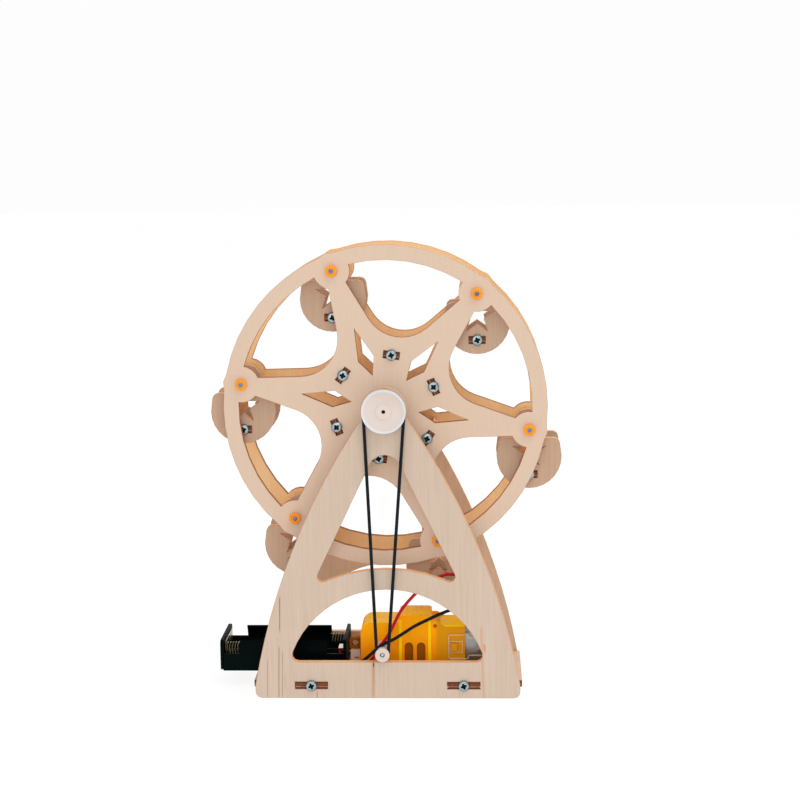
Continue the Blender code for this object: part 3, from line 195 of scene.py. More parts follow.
def rgb(red, green, blue):
    """A colour given as 0-255 sRGB, in linear light."""
    linear = []
    for value in (red, green, blue):
        share = value / 255
        linear.append(share / 12.92 if share <= 0.04045 else ((share + 0.055) / 1.055) ** 2.4)
    return (*linear, 1)


class Finish:
    """A node material under construction."""

    def __init__(self, name, **sockets):
        self.material = bpy.data.materials.new(name)
        self.material.use_nodes = True
        self.tree = self.material.node_tree
        self.shader = self.tree.nodes["Principled BSDF"]
        for socket, value in sockets.items():
            self.shader.inputs[socket.replace("_", " ")].default_value = value

    def node(self, kind, inputs, output=0, **settings):
        node = self.tree.nodes.new("ShaderNode" + kind)
        for key, value in settings.items():
            setattr(node, key, value)
        for key, value in inputs.items():
            self.plug(value, node.inputs[key])
        return node.outputs[output]

    def plug(self, value, socket):
        if isinstance(value, bpy.types.NodeSocket):
            self.tree.links.new(value, socket)
        else:
            socket.default_value = value

    def place(self):
        """The place on the object, in metres."""
        return self.node("TexCoord", {}, "Object")

    def axes(self):
        """The place's x, y and z."""
        return self.node("SeparateXYZ", {"Vector": self.place()}).node.outputs

    def attribute(self, name):
        return self.node("Attribute", {}, "Fac", attribute_name=name)

    def noise(self, scale, detail=3.0, roughness=0.55):
        """Noise with features of 1 / scale, in 1/m along x, y and z."""
        stretched = self.node("Mapping", {"Vector": self.place(), "Scale": scale})
        inputs = {"Vector": stretched, "Scale": 1.0, "Detail": detail, "Roughness": roughness}
        return self.node("TexNoise", inputs, "Fac")

    def math(self, operation, *values):
        return self.node("Math", dict(enumerate(values)), operation=operation)

    def band(self, value, low, high, start=0.0, end=1.0):
        """Start below low, end above high and a soft change between them."""
        inputs = {"Value": value, "From Min": low, "From Max": high, "To Min": start, "To Max": end}
        return self.node("MapRange", inputs, interpolation_type="SMOOTHSTEP")

    def mix(self, share, first, second):
        return self.node("Mix", {0: share, 6: first, 7: second}, 2, data_type="RGBA")

    def ramp(self, value, stops):
        """A colour by value. The first two stops are the outermost ones."""
        output = self.node("ValToRGB", {"Fac": value})
        elements = output.node.color_ramp.elements
        for index, (position, colour) in enumerate(stops):
            element = elements[index] if index < 2 else elements.new(position)
            element.position = position
            element.color = colour
        return output

    def bump(self, height, depth, strength):
        inputs = {"Height": height, "Distance": depth, "Strength": strength}
        self.plug(self.node("Bump", inputs), self.shader.inputs["Normal"])

    def paint(self, colour, roughness=None):
        self.plug(colour, self.shader.inputs["Base Color"])
        if roughness is not None:
            self.plug(roughness, self.shader.inputs["Roughness"])
        return self.material


def streak(look, across, up, start, end, width):
    """1 along a thin, nearly upright line between two (x, z) points in mm, 0 elsewhere."""
    (x0, z0), (x1, z1) = start, end
    lean = (x1 - x0) / (z1 - z0)
    line = look.math("MULTIPLY_ADD", up, -lean, across)
    offset = look.math("ABSOLUTE", look.math("SUBTRACT", line, (x0 - z0 * lean) * MM))
    thin = look.band(offset, 0.0, width * MM, 1.0, 0.0)
    low, high = sorted((z0, z1))
    fade = min(3.0, (high - low) / 3)
    rise = look.band(up, (low - fade / 2) * MM, (low + fade) * MM)
    fall = look.band(up, (high - fade) * MM, high * MM, 1.0, 0.0)
    return look.math("MULTIPLY", thin, look.math("MULTIPLY", rise, fall))


PORE_TINT = rgb(188, 138, 108)
BURN_TINT = rgb(186, 112, 62)


def wood_face(name, light, dark, grain, marks=(), pore=0.25):
    """The flat side of the plywood. The grain vector holds how fine the grain is along x, y, z,
    and pore is how strongly its darkest lines show."""
    look = Finish(name, IOR=1.45)
    broad = look.noise([value * 0.06 for value in grain], 2.0)
    fine = look.noise(grain, 5.0, 0.7)
    pores = look.noise([value * 0.55 for value in grain], 2.0, 0.4)
    blotch = look.noise((38, 38, 38), 2.0)
    colour = look.mix(look.band(fine, 0.3, 0.7), light, dark)
    colour = look.mix(look.band(broad, 0.3, 0.75, 0.0, 0.3), colour, dark)
    colour = look.mix(look.band(blotch, 0.35, 0.7, 0.0, 0.35), colour, light)
    colour = look.mix(look.band(pores, 0.64, 0.78, 0.0, pore), colour, PORE_TINT)
    if marks:
        axes = look.axes()
        for start, end, width, strength, tint in marks:
            shape = streak(look, axes[0], axes[2], start, end, width)
            # Each mark tints a streak of the face towards its colour, broken up by the grain
            streak_share = look.math("MULTIPLY", shape, look.band(fine, 0.2, 0.6, 0.55, 1.0))
            colour = look.mix(look.math("MULTIPLY", streak_share, strength), colour, rgb(*tint))
    burn = look.math("POWER", look.attribute("burn"), 1.6)
    colour = look.mix(look.math("MULTIPLY", burn, 0.9), colour, BURN_TINT)
    look.bump(fine, 0.05 * MM, 0.5)
    return look.paint(colour, look.band(fine, 0.2, 0.8, 0.6, 0.8))


def wood_edge(name, outer, inner, line):
    """The laser-cut edge: two outer plies and an inner one with lines between them, browned by the
    beam and darkest at both rims."""
    look = Finish(name, IOR=1.45)
    across = look.math("ABSOLUTE", look.attribute("ply"))
    plies = look.ramp(across, [
        (0.0, inner), (1.0, line), (0.31, inner), (0.36, line), (0.41, outer), (0.91, outer),
        (0.97, line),
    ])
    scorch = look.noise((420, 420, 420), 3.0, 0.6)
    broad = look.noise((70, 70, 70), 2.0)
    colour = look.mix(look.band(scorch, 0.45, 0.85, 0.0, 0.25), plies, line)
    colour = look.mix(look.band(broad, 0.35, 0.7, 0.0, 0.5), colour, outer)
    look.bump(scorch, 0.04 * MM, 0.6)
    return look.paint(colour, look.band(scorch, 0.2, 0.8, 0.7, 0.9))


def tab_end(name):
    """The burnt end of a tab: brown and black plies with one pale line near the lower face."""
    look = Finish(name, IOR=1.45)
    height = look.band(look.attribute("ply"), -1.0, 1.0)
    plies = look.ramp(height, [
        (0.0, rgb(40, 18, 10)), (1.0, rgb(26, 12, 8)), (0.12, rgb(120, 66, 34)),
        (0.2, rgb(196, 140, 92)), (0.3, rgb(186, 126, 78)), (0.36, rgb(66, 30, 18)),
        (0.5, rgb(124, 62, 34)), (0.88, rgb(136, 72, 42)),
    ])
    scorch = look.noise((600, 600, 600), 3.0, 0.6)
    look.bump(scorch, 0.05 * MM, 0.7)
    return look.paint(look.mix(look.band(scorch, 0.35, 0.75, 0.0, 0.6), plies, rgb(70, 34, 20)), 0.8)


def plastic(name, colour, shade, roughness, depth=0.012, **sockets):
    """Moulded plastic with slight flow marks and a fine skin, its depth in mm."""
    look = Finish(name, IOR=1.5, **sockets)
    flow = look.noise((52, 52, 91), 2.0)
    skin = look.noise((2340, 2340, 2340), 2.0)
    tint = look.mix(look.band(flow, 0.3, 0.75), colour, shade)
    look.bump(skin, depth * MM, 0.5)
    return look.paint(tint, look.band(skin, 0.3, 0.7, roughness * 0.85, roughness * 1.15))


# Painted glow: a faint orange emission that stands for light passing through the thin gearbox plastic
GLOW = {"Emission_Color": (1.0, 0.42, 0.0, 1), "Emission_Strength": 0.1}


def gearbox_plastic(name):
    """Yellow-orange plastic, paler towards the top as painted light falling from above, and darker
    beside the tower, where it is thin and the motor lies behind it. It lets some light through, which
    its faint painted glow stands for."""
    look = Finish(name, IOR=1.5, Specular_IOR_Level=0.08, **GLOW)
    axes = look.axes()
    flow = look.noise((60, 60, 90), 2.0)
    skin = look.noise((2400, 2400, 2400), 2.0)
    colour = look.mix(look.band(flow, 0.3, 0.75), rgb(238, 136, 0), rgb(228, 122, 0))
    # Painted light: the upper part is paler, where more light falls from above
    colour = look.mix(look.band(axes[2], 12 * MM, 34 * MM, 0.0, 0.8), colour, rgb(255, 174, 0))
    thin = look.band(axes[0], 21.5 * MM, 23.5 * MM, 0.0, 0.75)
    colour = look.mix(thin, colour, rgb(196, 136, 8))
    look.bump(skin, 0.012 * MM, 0.4)
    return look.paint(colour, look.band(skin, 0.3, 0.7, 0.5, 0.62))


def metal(name, colour, shade, roughness, stretch=(500, 500, 500)):
    """Plated or drawn metal with fine scuffs."""
    look = Finish(name, Metallic=1.0)
    scuff = look.noise(stretch, 4.0, 0.7)
    cloud = look.noise((150, 150, 150), 2.0)
    tint = look.mix(look.band(cloud, 0.3, 0.7), colour, shade)
    look.bump(scuff, 0.01 * MM, 0.4)
    return look.paint(tint, look.band(scuff, 0.3, 0.75, roughness * 0.8, roughness * 1.3))


def soft_skin(name, colour, shade, roughness, scale):
    """Rubber, insulation or foam: matt with a fine grain."""
    look = Finish(name, Specular_IOR_Level=0.2)
    grain = look.noise((scale, scale, scale), 3.0, 0.6)
    tint = look.mix(look.band(grain, 0.35, 0.7), colour, shade)
    look.bump(grain, 0.03 * MM, 0.6)
    return look.paint(tint, look.band(grain, 0.3, 0.7, roughness * 0.85, roughness))


# Streaks on the front frame: two (x, z) ends and the half width in mm, strength and colour
FRAME_MARKS = (
    ((-48.9, 49.3), (-49.3, 30.9), 0.5, 0.8, (150, 84, 48)),
    ((-49.7, 25.7), (-50.3, -1), 0.32, 0.8, (124, 74, 50)),
    ((-48.1, 23.3), (-48.7, -1), 0.28, 0.7, (134, 82, 56)),
    ((-55.1, 20.0), (-55.6, -1), 0.4, 0.6, (186, 116, 70)),
    ((-47.2, 12.9), (-47.4, 2.3), 0.3, 0.5, (186, 116, 70)),
    ((-32.4, 3.6), (-32.5, -1), 0.3, 0.8, (120, 62, 34)),
    ((-6.3, 17.6), (-6.6, -1), 1.0, 0.75, (196, 128, 72)),
    ((-6.25, 17.6), (-6.3, 14.6), 0.55, 1.0, (30, 16, 12)),
    ((43.1, 35.2), (44.3, -1), 1.1, 0.5, (214, 150, 92)),
    ((44.5, 26.5), (44.9, 21.5), 0.7, 0.8, (206, 112, 40)),
    ((-25.6, 18.2), (-25.8, 15.6), 0.4, 0.6, (232, 205, 180)),
)
UPRIGHT = (1500, 1500, 45)
SIDEWAYS = (45, 1500, 1500)
INWARDS = (1500, 45, 1500)
WHEEL_WOOD = wood_face("wheel_wood", rgb(224, 197, 174), rgb(219, 191, 167), UPRIGHT, pore=0.05)
# Painted light: a brighter, more orange copy of the wheel wood for the back wheel plate's front face,
# seen between the plates
INNER_LIT_WOOD = wood_face("far_wheel_wood_painted_light", rgb(255, 212, 156), rgb(252, 200, 142), UPRIGHT, pore=0.05)
FRAME_WOOD = wood_face(
    "frame_wood", rgb(216, 195, 176), rgb(206, 181, 159), UPRIGHT, FRAME_MARKS, 0.14
)
REAR_WOOD = wood_face("rear_frame_wood", rgb(236, 206, 178), rgb(222, 188, 156), UPRIGHT)
# Painted shade: the gondolas' plywood is a darker, greyer copy of the wood, for the shade they sit in
SHADED_GONDOLA_WOOD = wood_face("gondola_wood_painted_shade", rgb(200, 168, 142), rgb(190, 156, 130), UPRIGHT, pore=0.12)
BOARD_WOOD = wood_face("board_wood", rgb(232, 202, 172), rgb(216, 184, 154), SIDEWAYS)
CROSS_WOOD = wood_face("cross_plate_wood", rgb(226, 192, 160), rgb(212, 176, 142), INWARDS)
EDGE_WOOD = wood_edge("cut_edge", rgb(255, 206, 148), rgb(246, 184, 124), rgb(150, 84, 44))
DARK_EDGE = wood_edge("burnt_cut_edge", rgb(186, 116, 68), rgb(142, 82, 46), rgb(44, 26, 26))
TAB_WOOD = tab_end("tab_end")
ORANGE = plastic(
    "orange_caps", rgb(255, 164, 20), rgb(250, 140, 6), 0.4, Specular_IOR_Level=0.25
)
WHITE = plastic(
    "white_plastic", rgb(226, 212, 202), rgb(220, 204, 192), 0.5, Specular_IOR_Level=0.25
)
RIM_WHITE = plastic(
    "pulley_rim_plastic", rgb(228, 226, 230), rgb(220, 218, 222), 0.4, Specular_IOR_Level=0.3
)
YELLOW = gearbox_plastic("gearbox_plastic")
# Painted highlight: a paler copy of the gearbox plastic for its upward faces, the tower's ridges, the
# lid and the grips, where light falls
LIT_YELLOW = plastic(
    "gearbox_painted_highlight", rgb(255, 210, 0), rgb(255, 200, 0), 0.5, Specular_IOR_Level=0.08, **GLOW
)
# Painted shade: a darker copy of the gearbox plastic for the floors of the arches and the ear
SHADED_AMBER = plastic("gearbox_recess_painted_shade", rgb(160, 88, 0), rgb(138, 70, 0), 0.6, Specular_IOR_Level=0.05)
# Painted shade: the dark red-orange floor of the gearbox's shallow pin hole
HOLE_SHADE = plastic("gearbox_hole_painted_shade", rgb(196, 70, 8), rgb(160, 48, 6), 0.6, Specular_IOR_Level=0.1)
BLACK = plastic("black_plastic", rgb(0, 11, 11), rgb(0, 6, 7), 0.55, Specular_IOR_Level=0.04)
CLEAR = plastic(
    "clear_plastic", rgb(250, 246, 236), rgb(242, 236, 222), 0.06, 0.004,
    Transmission_Weight=0.96, Specular_IOR_Level=0.3,
)
# Painted highlight: a paler, less clear plastic along the strap's cut edges
CLEAR_RIM_HIGHLIGHT = plastic(
    "clear_edge_painted_highlight", rgb(246, 240, 226), rgb(236, 228, 210), 0.3, Transmission_Weight=0.25
)
ZINC = metal("zinc", rgb(176, 190, 192), rgb(138, 158, 168), 0.3)
# Painted shade: a darker, bluer copy of the zinc for the sides of the bolt heads
SHADED_ZINC = metal("zinc_side_painted_shade", rgb(134, 158, 174), rgb(84, 110, 132), 0.34)
# Painted shade: near-black metal for the bolts' cross recesses and the axle's front tip
SHADE_METAL = metal("dark_metal_painted_shade", rgb(38, 56, 58), rgb(14, 24, 26), 0.6)
SPRING_WIRE = metal("spring_wire", rgb(150, 148, 116), rgb(96, 94, 70), 0.34)
BLUED = metal("rod_end", rgb(96, 142, 186), rgb(60, 104, 150), 0.3)
STEEL = metal("steel", rgb(206, 208, 212), rgb(180, 186, 194), 0.24, (300, 2500, 300))
CAN_STEEL = metal("motor_steel", rgb(168, 168, 168), rgb(146, 148, 150), 0.33, (250, 2600, 2600))
BRASS = metal("contact_metal", rgb(168, 162, 134), rgb(138, 130, 100), 0.32)
RUBBER = soft_skin("belt_rubber", rgb(4, 22, 34), rgb(0, 10, 18), 0.7, 2200)
RED = soft_skin("red_insulation", rgb(206, 12, 36), rgb(182, 6, 28), 0.42, 1500)
BLACK_SKIN = soft_skin("black_insulation", rgb(2, 12, 24), rgb(0, 6, 12), 0.6, 1500)
FOAM = soft_skin("foam", rgb(228, 226, 216), rgb(204, 200, 188), 0.95, 900)


# Shapes

WELD = 0.002 * MM
SLIVER = 0.001 * MM
BURNT_RIM = 0.32 * MM
STRAP_RIM = 0.22 * MM
# Edges sharper than this, in degrees, are not smoothed over
CREASE = 32
TURNED_CREASE = 40
# Edges sharper than this, in degrees, get a small round
ROUNDED_FROM = 35


def link(name, data, body, slot, *replaced, place=None):
    """Add a piece that rides on a body, with the CAD nodes that it replaces."""
    piece = add_object(name, data)
    if place:
        piece.matrix_world = place
    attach(piece, body)
    if replaced:
        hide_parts(*replaced)
    return piece


def mesh_from(shape, name, materials, crease=CREASE):
    mesh = bpy.data.meshes.new(name)
    shape.to_mesh(mesh)
    shape.free()
    for material in materials:
        mesh.materials.append(material)
    mesh.shade_smooth()
    mesh.set_sharp_from_angle(angle=math.radians(crease))
    return mesh


def modified_mesh(source):
    """The mesh of an object with its modifiers applied. The object is removed."""
    graph = bpy.context.evaluated_depsgraph_get()
    mesh = bpy.data.meshes.new_from_object(source.evaluated_get(graph))
    bpy.data.objects.remove(source)
    return mesh


def rounded(name, shape, materials, width):
    """A mesh of the shape with small rounds on its edges."""
    source = add_object(name, mesh_from(shape, name, materials))
    bevel = source.modifiers.new("rounds", "BEVEL")
    bevel.width = width
    bevel.segments = 2
    bevel.limit_method = "ANGLE"
    bevel.angle_limit = math.radians(ROUNDED_FROM)
    bevel.harden_normals = True
    return modified_mesh(source)


def cad_shape(node):
    """The CAD mesh of a node, its corners welded."""
    source = NODES[node].data
    shape = bmesh.new()
    corners = [shape.verts.new(vertex.co) for vertex in source.vertices]
    for face in source.polygons:
        shape.faces.new([corners[index] for index in face.vertices])
    bmesh.ops.remove_doubles(shape, verts=shape.verts, dist=WELD)
    bmesh.ops.dissolve_degenerate(shape, dist=SLIVER, edges=shape.edges)
    shape.normal_update()
    return shape


def softened(node, material, slot, width, others=(), sort=None):
    """A copy of a CAD node with small rounds on its edges.
    Sort gives the index of a face's material from the face's middle, in mm, and its normal."""
    shape = cad_shape(node)
    for face in shape.faces:
        face.material_index = sort(face.calc_center_median() / MM, face.normal) if sort else 0
    name = node + "_form"
    link(name, rounded(name, shape, [material, *others], width), NODES[node]["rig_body"], slot, node)


def rim(shape, axis, width):
    """Lay a narrow rim of faces inside the outlines of the flat sides, and fill the rest anew."""
    for normal in (axis, -axis):
        side = [face for face in shape.faces if face.normal.dot(normal) > 0.99]
        bmesh.ops.inset_region(shape, faces=side, thickness=width, use_boundary=True)
        inner = set(side)
        outline = [
            edge for edge in shape.edges if sum(face in inner for face in edge.link_faces) == 1
        ]
        bmesh.ops.delete(shape, geom=side, context="FACES")
        filled = bmesh.ops.triangle_fill(shape, use_beauty=True, edges=outline, normal=normal)
        faces = [item for item in filled["geom"] if isinstance(item, bmesh.types.BMFace)]
        for face in faces:
            face.normal_update()
            if face.normal.dot(normal) < 0:
                face.normal_flip()
        shape.normal_update()


def is_wall(face, axis):
    """Whether a face lies between the two flat sides, which face along the axis."""
    return abs(face.normal.dot(axis)) < 0.9


def lathe(profile, steps, kinds=()):
    """Turn a (radius, z) profile in mm about z. Its outer side runs from top to bottom.
    The kinds give the material index of each stretch of the profile."""
    shape = bmesh.new()
    loops = []
    for radius, height in profile:
        if not radius:
            loops.append([shape.verts.new((0, 0, height * MM))])
            continue
        loop = []
        for step in range(steps):
            angle = math.tau * step / steps
            x, y = radius * MM * math.cos(angle), radius * MM * math.sin(angle)
            loop.append(shape.verts.new((x, y, height * MM)))
        loops.append(loop)
    for stretch, (upper, lower) in enumerate(zip(loops, loops[1:])):
        for step in range(steps):
            after = (step + 1) % steps
            corners = [upper[step % len(upper)], lower[step % len(lower)]]
            if len(lower) > 1:
                corners.append(lower[after])
            if len(upper) > 1:
                corners.append(upper[after])
            face = shape.faces.new(corners)
            face.material_index = kinds[stretch] if kinds else 0
    return shape


def fillet(centre, radius, start, end, steps=4):
    """Points of an arc in a profile, angles in degrees from +radius towards +z."""
    points = []
    for step in range(steps + 1):
        angle = math.radians(start + (end - start) * step / steps)
        points.append((centre[0] + radius * math.cos(angle), centre[1] + radius * math.sin(angle)))
    return points


def brick(low, high, material_index=0):
    """A block between two corners given in mm."""
    low, high = Vector(low) * MM, Vector(high) * MM
    shape = bmesh.new()
    place = Matrix.Translation((low + high) / 2) @ Matrix.Diagonal((*(high - low), 1))
    bmesh.ops.create_cube(shape, size=1, matrix=place)
    for face in shape.faces:
        face.material_index = material_index
    return shape


def joined(shapes):
    """Several bmeshes as one."""
    whole = bmesh.new()
    for part in shapes:
        mesh = bpy.data.meshes.new("part")
        part.to_mesh(mesh)
        part.free()
        whole.from_mesh(mesh)
        bpy.data.meshes.remove(mesh)
    return whole


def polar(radius, degrees):
    """A point in the wheel's middle plane, by its distance from the axle and its angle."""
    angle = math.radians(degrees)
    return Vector((radius * math.cos(angle), 0, AXLE_Z + radius * math.sin(angle)))


def spoke_angle(index):
    """The angle of a gondola's pivot, in degrees."""
    return FIRST_SPOKE + SPOKE_STEP * index


def spacer_angle(index):
    """The angle of a cross plate between the wheel plates, in degrees."""
    return FIRST_SPOKE + SPACER_LEAD + SPOKE_STEP * index


# Plywood

def plywood(node, axis, face_material, scorched=None, scorch=None, lining=None):
    """A plywood piece with browned cut edges. Scorched tells by a wall's middle whether the wall
    gets the scorch material, which is a tab's end if none is given. The lining is the material of
    the flat side that faces -axis, if it is another one."""
    shape = cad_shape(node)
    depths = [vertex.co.dot(axis) for vertex in shape.verts]
    middle, half = (max(depths) + min(depths)) / 2, (max(depths) - min(depths)) / 2
    rim(shape, axis, BURNT_RIM)
    burn = shape.verts.layers.float.new("burn")
    ply = shape.verts.layers.float.new("ply")
    for vertex in shape.verts:
        vertex[burn] = float(any(is_wall(face, axis) for face in vertex.link_faces))
        vertex[ply] = (vertex.co.dot(axis) - middle) / half
    for face in shape.faces:
        if is_wall(face, axis):
            darkest = scorched and scorched(face.calc_center_median())
            face.material_index = 2 if darkest else 1
        else:
            face.material_index = 3 if lining and face.normal.dot(axis) < 0 else 0
    materials = [face_material, EDGE_WOOD, scorch or TAB_WOOD, lining or face_material]
    name = node + "_ply"
    link(name, mesh_from(shape, name, materials), NODES[node]["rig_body"], "plywood", node)


def build_wood():
    def tabs_at(reach):
        return lambda middle: abs(abs(middle.y) - reach) < 0.05 * MM

    def board_ends(middle):
        return tabs_at(FRAME_FACE)(middle) or abs(middle.x) > BOARD_BOLT_X + 10 * MM

    def openings(middle):
        return (middle - Vector((0, middle.y, AXLE_Z))).length < WHEEL_RADIUS - 2 * MM

    plywood("front_frame", ALONG_Y, FRAME_WOOD)
    plywood("back_frame", ALONG_Y, REAR_WOOD)
    plywood("base_board", UP, BOARD_WOOD, board_ends)
    plywood("wheel_front", ALONG_Y, WHEEL_WOOD, openings, DARK_EDGE)
    # The back plate's inner face takes the painted light
    plywood("wheel_back", ALONG_Y, WHEEL_WOOD, openings, DARK_EDGE, INNER_LIT_WOOD)
    plywood("ear_block", ALONG_Y, WHEEL_WOOD)
    for index in range(SPOKES):
        angle = spacer_angle(index)
        radial = (polar(1, angle) - polar(0, angle)).normalized()
        plywood(f"hub_spacer_{index + 1}", radial, CROSS_WOOD, tabs_at(WHEEL_FACE))
        plywood(f"gondola_{index + 1}_front", ALONG_Y, SHADED_GONDOLA_WOOD)
        plywood(f"gondola_{index + 1}_back", ALONG_Y, SHADED_GONDOLA_WOOD)
        plywood(f"gondola_{index + 1}_seat", UP, CROSS_WOOD, tabs_at(GONDOLA_FACE))


# Fasteners

# The bolt head's top in zinc, its recess and its sides in darker copies that are painted shade
BOLT_METALS = (ZINC, SHADE_METAL, SHADED_ZINC)
TOP, RECESS, SIDE = range(3)
# Levels of a wing of the cross recess: height, half length and half width in mm
WING = ((1.6, 1.7, 0.5), (0.3, 0.7, 0.34))
WING_TURNS = (20, 110)
# The shank and its thread in mm, heights from the head's underside
SHANK_RADIUS = 1.25
THREAD_ROOT = 1.02
THREAD_TOP = -0.3
THREAD_BOTTOM = -7.7
THREAD_PITCH = 0.42


def recess_wing(degrees):
    """One wing of the cross recess, as a tool that cuts it."""
    wing = bmesh.new()
    upper, lower = (
        [
            wing.verts.new((x * MM, y * MM, height * MM))
            for x, y in ((-long, -wide), (long, -wide), (long, wide), (-long, wide))
        ]
        for height, long, wide in WING
    )
    wing.faces.new(upper)
    wing.faces.new(lower[::-1])
    for side in range(4):
        after = (side + 1) % 4
        wing.faces.new((upper[side], lower[side], lower[after], upper[after]))
    bmesh.ops.recalc_face_normals(wing, faces=wing.faces)
    for face in wing.faces:
        face.material_index = RECESS
    wing.transform(Matrix.Rotation(math.radians(degrees), 4, "Z"))
    return add_object("wing", mesh_from(wing, "wing", BOLT_METALS))


def bolt_shape():
    """A pan-head bolt with a cross recess and a threaded shank, its head above z = 0."""
    profile = [(0, 1.05), (0.8, 1.05), (1.0, 1.27), (1.5, 1.22)]
    profile += fillet((1.6, 0.35), 0.9, 75, 0, 5)
    profile += [(2.5, 0.0), (SHANK_RADIUS, 0.0)]
    kinds = [RECESS] * 2 + [TOP] * 4 + [SIDE] * 5
    height = THREAD_TOP
    while height > THREAD_BOTTOM:
        profile += [(SHANK_RADIUS, height), (THREAD_ROOT, height - 0.2)]
        height -= THREAD_PITCH
    profile += [(1.0, -7.9), (0.8, -8.0), (0, -8.0)]
    kinds += [TOP] * (len(profile) - 1 - len(kinds))
    uncut = mesh_from(lathe(profile, 24, kinds), "bolt", BOLT_METALS, TURNED_CREASE)
    source = add_object("bolt", uncut)
    wings = [recess_wing(degrees) for degrees in WING_TURNS]
    for wing in wings:
        cut = source.modifiers.new("recess", "BOOLEAN")
        cut.operation = "DIFFERENCE"
        cut.solver = "EXACT"
        cut.object = wing
    shape = bmesh.new()
    shape.from_mesh(modified_mesh(source))
    for wing in wings:
        bpy.data.objects.remove(wing)
    return shape


def nut_shape():
    """A hexagon nut with chamfered corners round the bolt, at its depth under the head."""
    half, hole = 1.0 * MM, 1.27 * MM
    corner = 2.5 * MM / math.cos(math.radians(30))
    inset, drop = 0.35 * MM, 0.2 * MM
    outline = (
        (corner - inset, half), (corner, half - drop), (corner, -half + drop),
        (corner - inset, -half), (hole, -half), (hole, half),
    )
    shape = bmesh.new()
    loops = []
    for radius, height in outline:
        angles = [math.radians(30 + 60 * side) for side in range(6)]
        loops.append([
            shape.verts.new((radius * math.cos(angle), radius * math.sin(angle), height))
            for angle in angles
        ])
    for upper, lower in zip(loops, loops[1:] + loops[:1]):
        for side in range(6):
            after = (side + 1) % 6
            shape.faces.new((upper[side], lower[side], lower[after], upper[after]))
    bmesh.ops.recalc_face_normals(shape, faces=shape.faces)
    shape.transform(Matrix.Translation((0, 0, -NUT_DEPTH)))
    return shape


def build_bolts():
    mesh = mesh_from(joined([bolt_shape(), nut_shape()]), "bolt_and_nut", BOLT_METALS, TURNED_CREASE)

    def fasten(name, place, face, body, *replaced):
        """Set a bolt into a plate's outer face, which lies at this distance from the middle."""
        head = Matrix.Translation((0, -face - FIT, 0)) @ FRONT
        link(name, mesh, body, "zinc", *replaced, place=place @ head)

    sides = (Matrix(), HALF_TURN)
    count = 0
    for x in (-BOARD_BOLT_X, BOARD_BOLT_X):
        for side in sides:
            count += 1
            place = Matrix.Translation((x, 0, BOARD_Z)) @ side
            fasten(f"frame_bolt_{count}", place, FRAME_FACE, "base", f"base_bolt_{count}")
    for index in range(SPOKES):
        turn = Matrix.Rotation(math.radians(-90 - spacer_angle(index)), 4, "Y")
        spacer = Matrix.Translation(polar(SPACER_RADIUS, spacer_angle(index))) @ turn
        seat = polar(PIVOT_RADIUS, spoke_angle(index)) - Vector((0, 0, SEAT_DROP))
        hanger = Matrix.Translation(seat)
        for end, side in zip(("front", "back"), sides):
            fasten(f"hub_bolt_{index + 1}_{end}", spacer @ side, WHEEL_FACE, "wheel")
            body = f"gondola_{index + 1}"
            fasten(f"seat_bolt_{index + 1}_{end}", hanger @ side, GONDOLA_FACE, body)


# Turned pieces

def turned(name, profile, steps, kinds, materials, place, body, slot, *replaced):
    shape = lathe(profile, steps, kinds)
    shape.transform(place)
    link(name, mesh_from(shape, name, materials, TURNED_CREASE), body, slot, *replaced)


def build_rods():
    """The gondola rods with an orange cap at either end."""
    half = [(0, 18.6), (0.8, 18.6), (1.0, 18.45), (1.0, 18.25)]
    half += [(1.0, 18.1), (1.55, 18.1), (1.75, 18.3)]
    half += fillet((2.2, 17.9), 0.4, 100, 0) + fillet((2.3, 16.6), 0.3, 0, -90, 3) + [(1.0, 16.3)]
    profile = half + [(radius, -height) for radius, height in reversed(half)]
    kinds = [0, 0, 0] + [1] * (len(half) - 4)
    kinds = kinds + [0] + kinds[::-1]
    for index in range(SPOKES):
        place = Matrix.Translation(polar(PIVOT_RADIUS, spoke_angle(index))) @ FRONT
        node = f"gondola_rod_{index + 1}"
        turned(
            node + "_capped", profile, 40, kinds, [BLUED, ORANGE], place,
            "wheel", "orange_caps", node,
        )


def build_axle():
    """The axle with its two spacer sleeves, its rear collar and a front tip darkened with painted
    shade.
    """
    profile = [(0, 29.5), (0.8, 29.5), (1.0, 29.3), (1.0, 23.7)]
    profile += [(2.8, 23.7), (3.0, 23.5), (3.0, 16.5), (2.8, 16.3), (1.0, 16.3)]
    profile += [(1.0, -16.3), (2.8, -16.3), (3.0, -16.5), (3.0, -23.5), (2.8, -23.7), (1.0, -23.7)]
    profile += [(1.0, -27.3), (3.4, -27.3), (3.6, -27.5), (3.6, -30.7), (3.3, -31.0), (1.2, -31.0)]
    profile += [(1.0, -30.8), (0, -30.8)]
    kinds = [2, 2, 0] + [1] * 5 + [0] + [1] * 5 + [0] + [1] * 5 + [0, 0]
    place = Matrix.Translation((0, 0, AXLE_Z)) @ FRONT
    turned(
        "axle_turned", profile, 48, kinds, [STEEL, WHITE, SHADE_METAL], place, "wheel", "steel", "axle"
    )


def build_drive_pulley():
    profile = [(1.3, 0), (1.3, 2.5), (0.88, 2.9), (0.88, 3.6), (0.98, 3.7), (3.4, 3.7), (3.6, 3.5)]
    profile += [(3.6, 3.3), (3.8, 3.2), (8.8, 3.2), (9.05, 3.35), (9.2, 3.62)]
    profile += fillet((9.75, 3.4), 0.3, 110, 0) + [(10.05, 3.0), (9.85, 2.95), (8.5, 2.8)]
    profile += [(8.15, 2.5), (8.15, 1.3), (8.5, 1.0), (9.85, 0.85), (10.05, 0.8)]
    profile += fillet((9.75, 0.3), 0.3, 0, -90) + [(1.3, 0)]
    kinds = [0] * 9 + [1] * (len(profile) - 10)
    place = Matrix.Translation((0, PULLEY_BACK_Y, AXLE_Z)) @ FRONT
    turned(
        "drive_pulley_turned", profile, 96, kinds, [WHITE, RIM_WHITE], place,
        "wheel", "white_plastic", "drive_pulley",
    )


